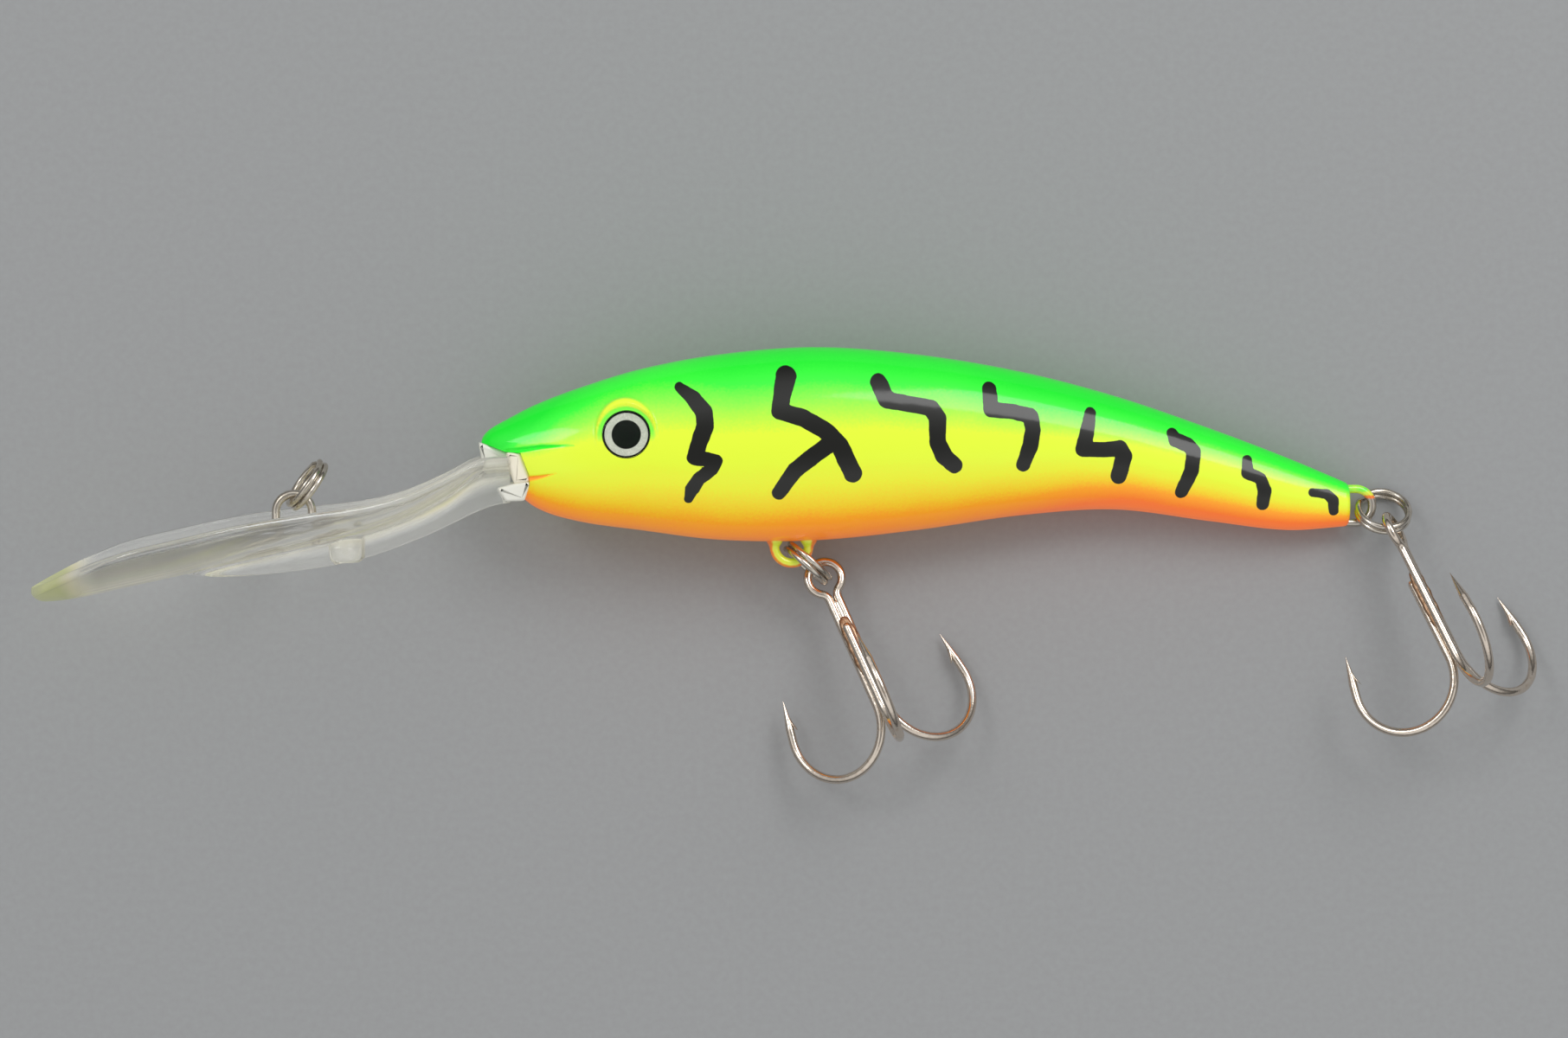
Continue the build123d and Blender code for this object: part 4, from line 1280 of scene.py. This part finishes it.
def throat_web(rows=40, around=36):
    """Brazing that ran up between the two wires, flush with them, to the throat of the eye."""
    t = np.linspace(0, 1, rows)[:, None]
    turn = np.linspace(0, 2 * np.pi, around, endpoint=False)[None, :]
    ends = np.sqrt(np.clip(1 - np.abs(2 * t - 1) ** 6, 0, 1)) + 0 * turn
    x = 3.0 + (BRAZE_START - 1.6) * t + 0 * turn
    return np.stack([x, HALF_SHANKS * ends * np.cos(turn), 0.46 * ends * np.sin(turn)], -1)


print("double hook wire has", len(double_hook()[0]), "points")

# %% [markdown]
# Heat from brazing and a season of use have browned the eye and the upper shank of the belly
# treble. How brown a point is falls along the shank, so it is stored and mixed into the plate.

# %% Browned plate and brazing metal


def hook_metal(name, amount):
    """Nickel plate that turns to rough brown oxide where heat is high."""
    metal, shader = new_material(name, Metallic=1.0)
    heat = point_value(metal, "heat")
    at = own_place(metal)
    # oxide grows in spots of about 0.5 mm
    spots = noise(metal, at, 1500.0, 6.0)
    grown = calculate(metal, "MULTIPLY_ADD", heat, amount, 0.0)
    both = calculate(metal, "MULTIPLY_ADD", spots, 0.7, grown)
    tones = ramp(
        metal,
        both,
        [
            (0.38, "#DED2C4"),
            (0.55, "#CDB9A6"),
            (0.72, "#B08C6C"),
            (0.86, "#85603F"),
            (1.00, "#4E3020"),
        ],
    )
    rough = remap(metal, both, 0.4, 1.0, 0.14, 0.55)
    bumps = bump(metal, spots, 0.25, 0.0001)
    fill(metal, shader, [("Base Color", tones), ("Roughness", rough), ("Normal", bumps)])
    return metal


METALS = {
    "belly": hook_metal("browned_nickel_hook_wire", 0.92),
    "tail": hook_metal("nickel_plated_hook_wire", 0.12),
}
brass, brass_shader = new_material("brazing_brass", Metallic=1.0, Roughness=0.38)
brass_at = own_place(brass)
# flow marks in the brazing are about 0.6 mm long
flow = noise(brass, brass_at, 1400.0, 5.0)
flow_tint = ramp(brass, flow, [(0.3, "#8C6A4E"), (0.7, "#C2A184")])
flow_bump = bump(brass, flow, 0.5, 0.0001)
fill(brass, brass_shader, [("Base Color", flow_tint), ("Normal", flow_bump)])


def heat_at(points):
    """1 round the eye and upper shank, falling to 0 at the middle of the shank."""
    return 1 - step(7.0, 15.0, points[..., 0])


def add_hook_piece(name, word, shape, place, material, replaced, slot, warmed=None):
    """One piece of a treble; warmed scales the stored heat."""
    points, faces = shape
    stored = {} if warmed is None else {"heat": warmed * heat_at(points)}
    body, piece = f"{name}_treble", f"{name}_{word}"
    replaced = [f"{body}_{replaced}"] if replaced else []
    add_piece(piece, in_place(points, place), faces, material, body, replaced, slot, **stored)


for name in TREBLE_TURNS:
    place, metal = treble_place(name), METALS[name]
    double = joined(
        closed_grid(tube(*double_hook())),
        closed_grid(barb(-30, [0, HALF_SHANKS, 0])),
        closed_grid(barb(210, [0, -HALF_SHANKS, 0])),
    )
    single = joined(closed_grid(tube(*single_hook())), closed_grid(barb(90, [0, 0, SINGLE_HIGH])))
    add_hook_piece(name, "double_hook", double, place, metal, "double", "nickel", 1.0)
    add_hook_piece(name, "single_hook", single, place, metal, "single", "nickel", 1.0)
    add_hook_piece(name, "brazing", closed_grid(braze_rod()), place, brass, "braze", "brass")
    web = closed_grid(throat_web())
    add_hook_piece(name, "throat_brazing", web, place, metal, None, "brass", 0.3)

# %% [markdown]
# The ballast and the rattle balls are inside the closed body. They keep their CAD shapes and get
# the finish of cast lead and polished steel.

# %% Pieces inside the body
lead, lead_shader = new_material("cast_lead", Metallic=1.0, Roughness=0.55)
lead_at = own_place(lead)
skin = noise(lead, lead_at, 800.0, 4.0)
lead_tint = ramp(lead, skin, [(0.3, "#6C6E72"), (0.8, "#8E9094")])
fill(lead, lead_shader, [("Base Color", lead_tint)])
for name in ("belly_ballast", "rattle_ball_front", "rattle_ball_middle", "rattle_ball_rear"):
    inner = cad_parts[name]
    finish = lead if name == "belly_ballast" else nickel
    for socket in inner.material_slots:
        socket.material = finish


print("ballast and balls have their metals")

# %% [markdown]
# The lure is lit as a small product is: a large soft box over its tail, a small one over its
# head, and a room that is pale overhead and darker near the floor, over a plain grey sheet.

# %% Floor, lights and camera
sheet_paper, sheet_shader = new_material("grey_paper_sheet", Roughness=0.75)
sheet_at = own_place(sheet_paper)
fibre = noise(sheet_paper, sheet_at, 1200.0, 4.0)
pulp = ramp(sheet_paper, fibre, [(0.3, "#98999A"), (0.75, "#9C9E9F")])
fill(sheet_paper, sheet_shader, [("Base Color", pulp)])
floor_mesh = bpy.data.meshes.new("floor")
floor_mesh.from_pydata([(-2, -2, 0), (2, -2, 0), (2, 2, 0), (-2, 2, 0)], [], [(0, 1, 2, 3)])
floor_mesh.materials.append(sheet_paper)
floor = bpy.data.objects.new("floor", floor_mesh)
bpy.context.scene.collection.objects.link(floor)


def soft_box(name, place, aim, width, depth, power):
    """An area light at place, in metres, facing aim."""
    light = bpy.data.lights.new(name, "AREA")
    light.shape, light.size, light.size_y, light.energy = "RECTANGLE", width, depth, power
    lamp = bpy.data.objects.new(name, light)
    lamp.location = place
    lamp.rotation_euler = (Vector(aim) - Vector(place)).to_track_quat("-Z", "Y").to_euler()
    bpy.context.scene.collection.objects.link(lamp)


soft_box("tail_box", (0.44, 0.57, 0.69), (0.0, 0.0, 0.0), 0.50, 0.42, 3.0)
soft_box("head_box", (-0.46, 0.37, 0.73), (0.0, 0.0, 0.0), 0.26, 0.22, 0.9)
world = bpy.data.worlds.new("pale_room")
bpy.context.scene.world = world
world.use_nodes = True
look = node(world, "ShaderNodeTexCoord").outputs["Generated"]
climb = node(world, "ShaderNodeSeparateXYZ", [("Vector", look)]).outputs["Z"]
ROOM_LEVEL = 0.68
bright = [(0.0, 0.04), (0.30, 0.22), (0.62, 0.75), (0.86, 0.90), (0.97, 0.28)]
room = ramp(world, climb, [(place, (tone, tone, tone, 1.0)) for place, tone in bright])
# mirror rays see a room dark at the floor and bright above; all others see one even level
rays = node(world, "ShaderNodeLightPath")
through = calculate(world, "SUBTRACT", 1.0, rays.outputs["Is Transmission Ray"])
mirrored = calculate(world, "MULTIPLY", rays.outputs["Is Glossy Ray"], through)
level = node(
    world, "ShaderNodeMix", [("Factor", mirrored), (2, ROOM_LEVEL), (3, room)]
)
background = world.node_tree.nodes["Background"]
fill(world, background, [("Color", (1.0, 1.0, 1.0, 1.0)), ("Strength", level.outputs[0])])

CAMERA_HEIGHT, MIDDLE_HEIGHT = 0.808, 0.008
CAMERA_FROM_NOSE = (0.03801, -0.00868)
VIEW_WIDTH = 0.19762
lens_data = bpy.data.cameras.new("camera")
lens_data.sensor_width = 36.0
lens_data.lens = 36.0 * (CAMERA_HEIGHT - MIDDLE_HEIGHT) / VIEW_WIDTH
lens_data.clip_start, lens_data.clip_end = 0.01, 10.0
camera = bpy.data.objects.new("camera", lens_data)
nose = laid([0.0, 0.0, 0.0]) / 1000
camera.location = (nose[0] + CAMERA_FROM_NOSE[0], nose[1] + CAMERA_FROM_NOSE[1], CAMERA_HEIGHT)
bpy.context.scene.collection.objects.link(camera)
bpy.context.scene.camera = camera
bpy.context.scene.view_settings.view_transform = "Standard"
print("camera", CAMERA_HEIGHT, "m over the floor; room level", ROOM_LEVEL)
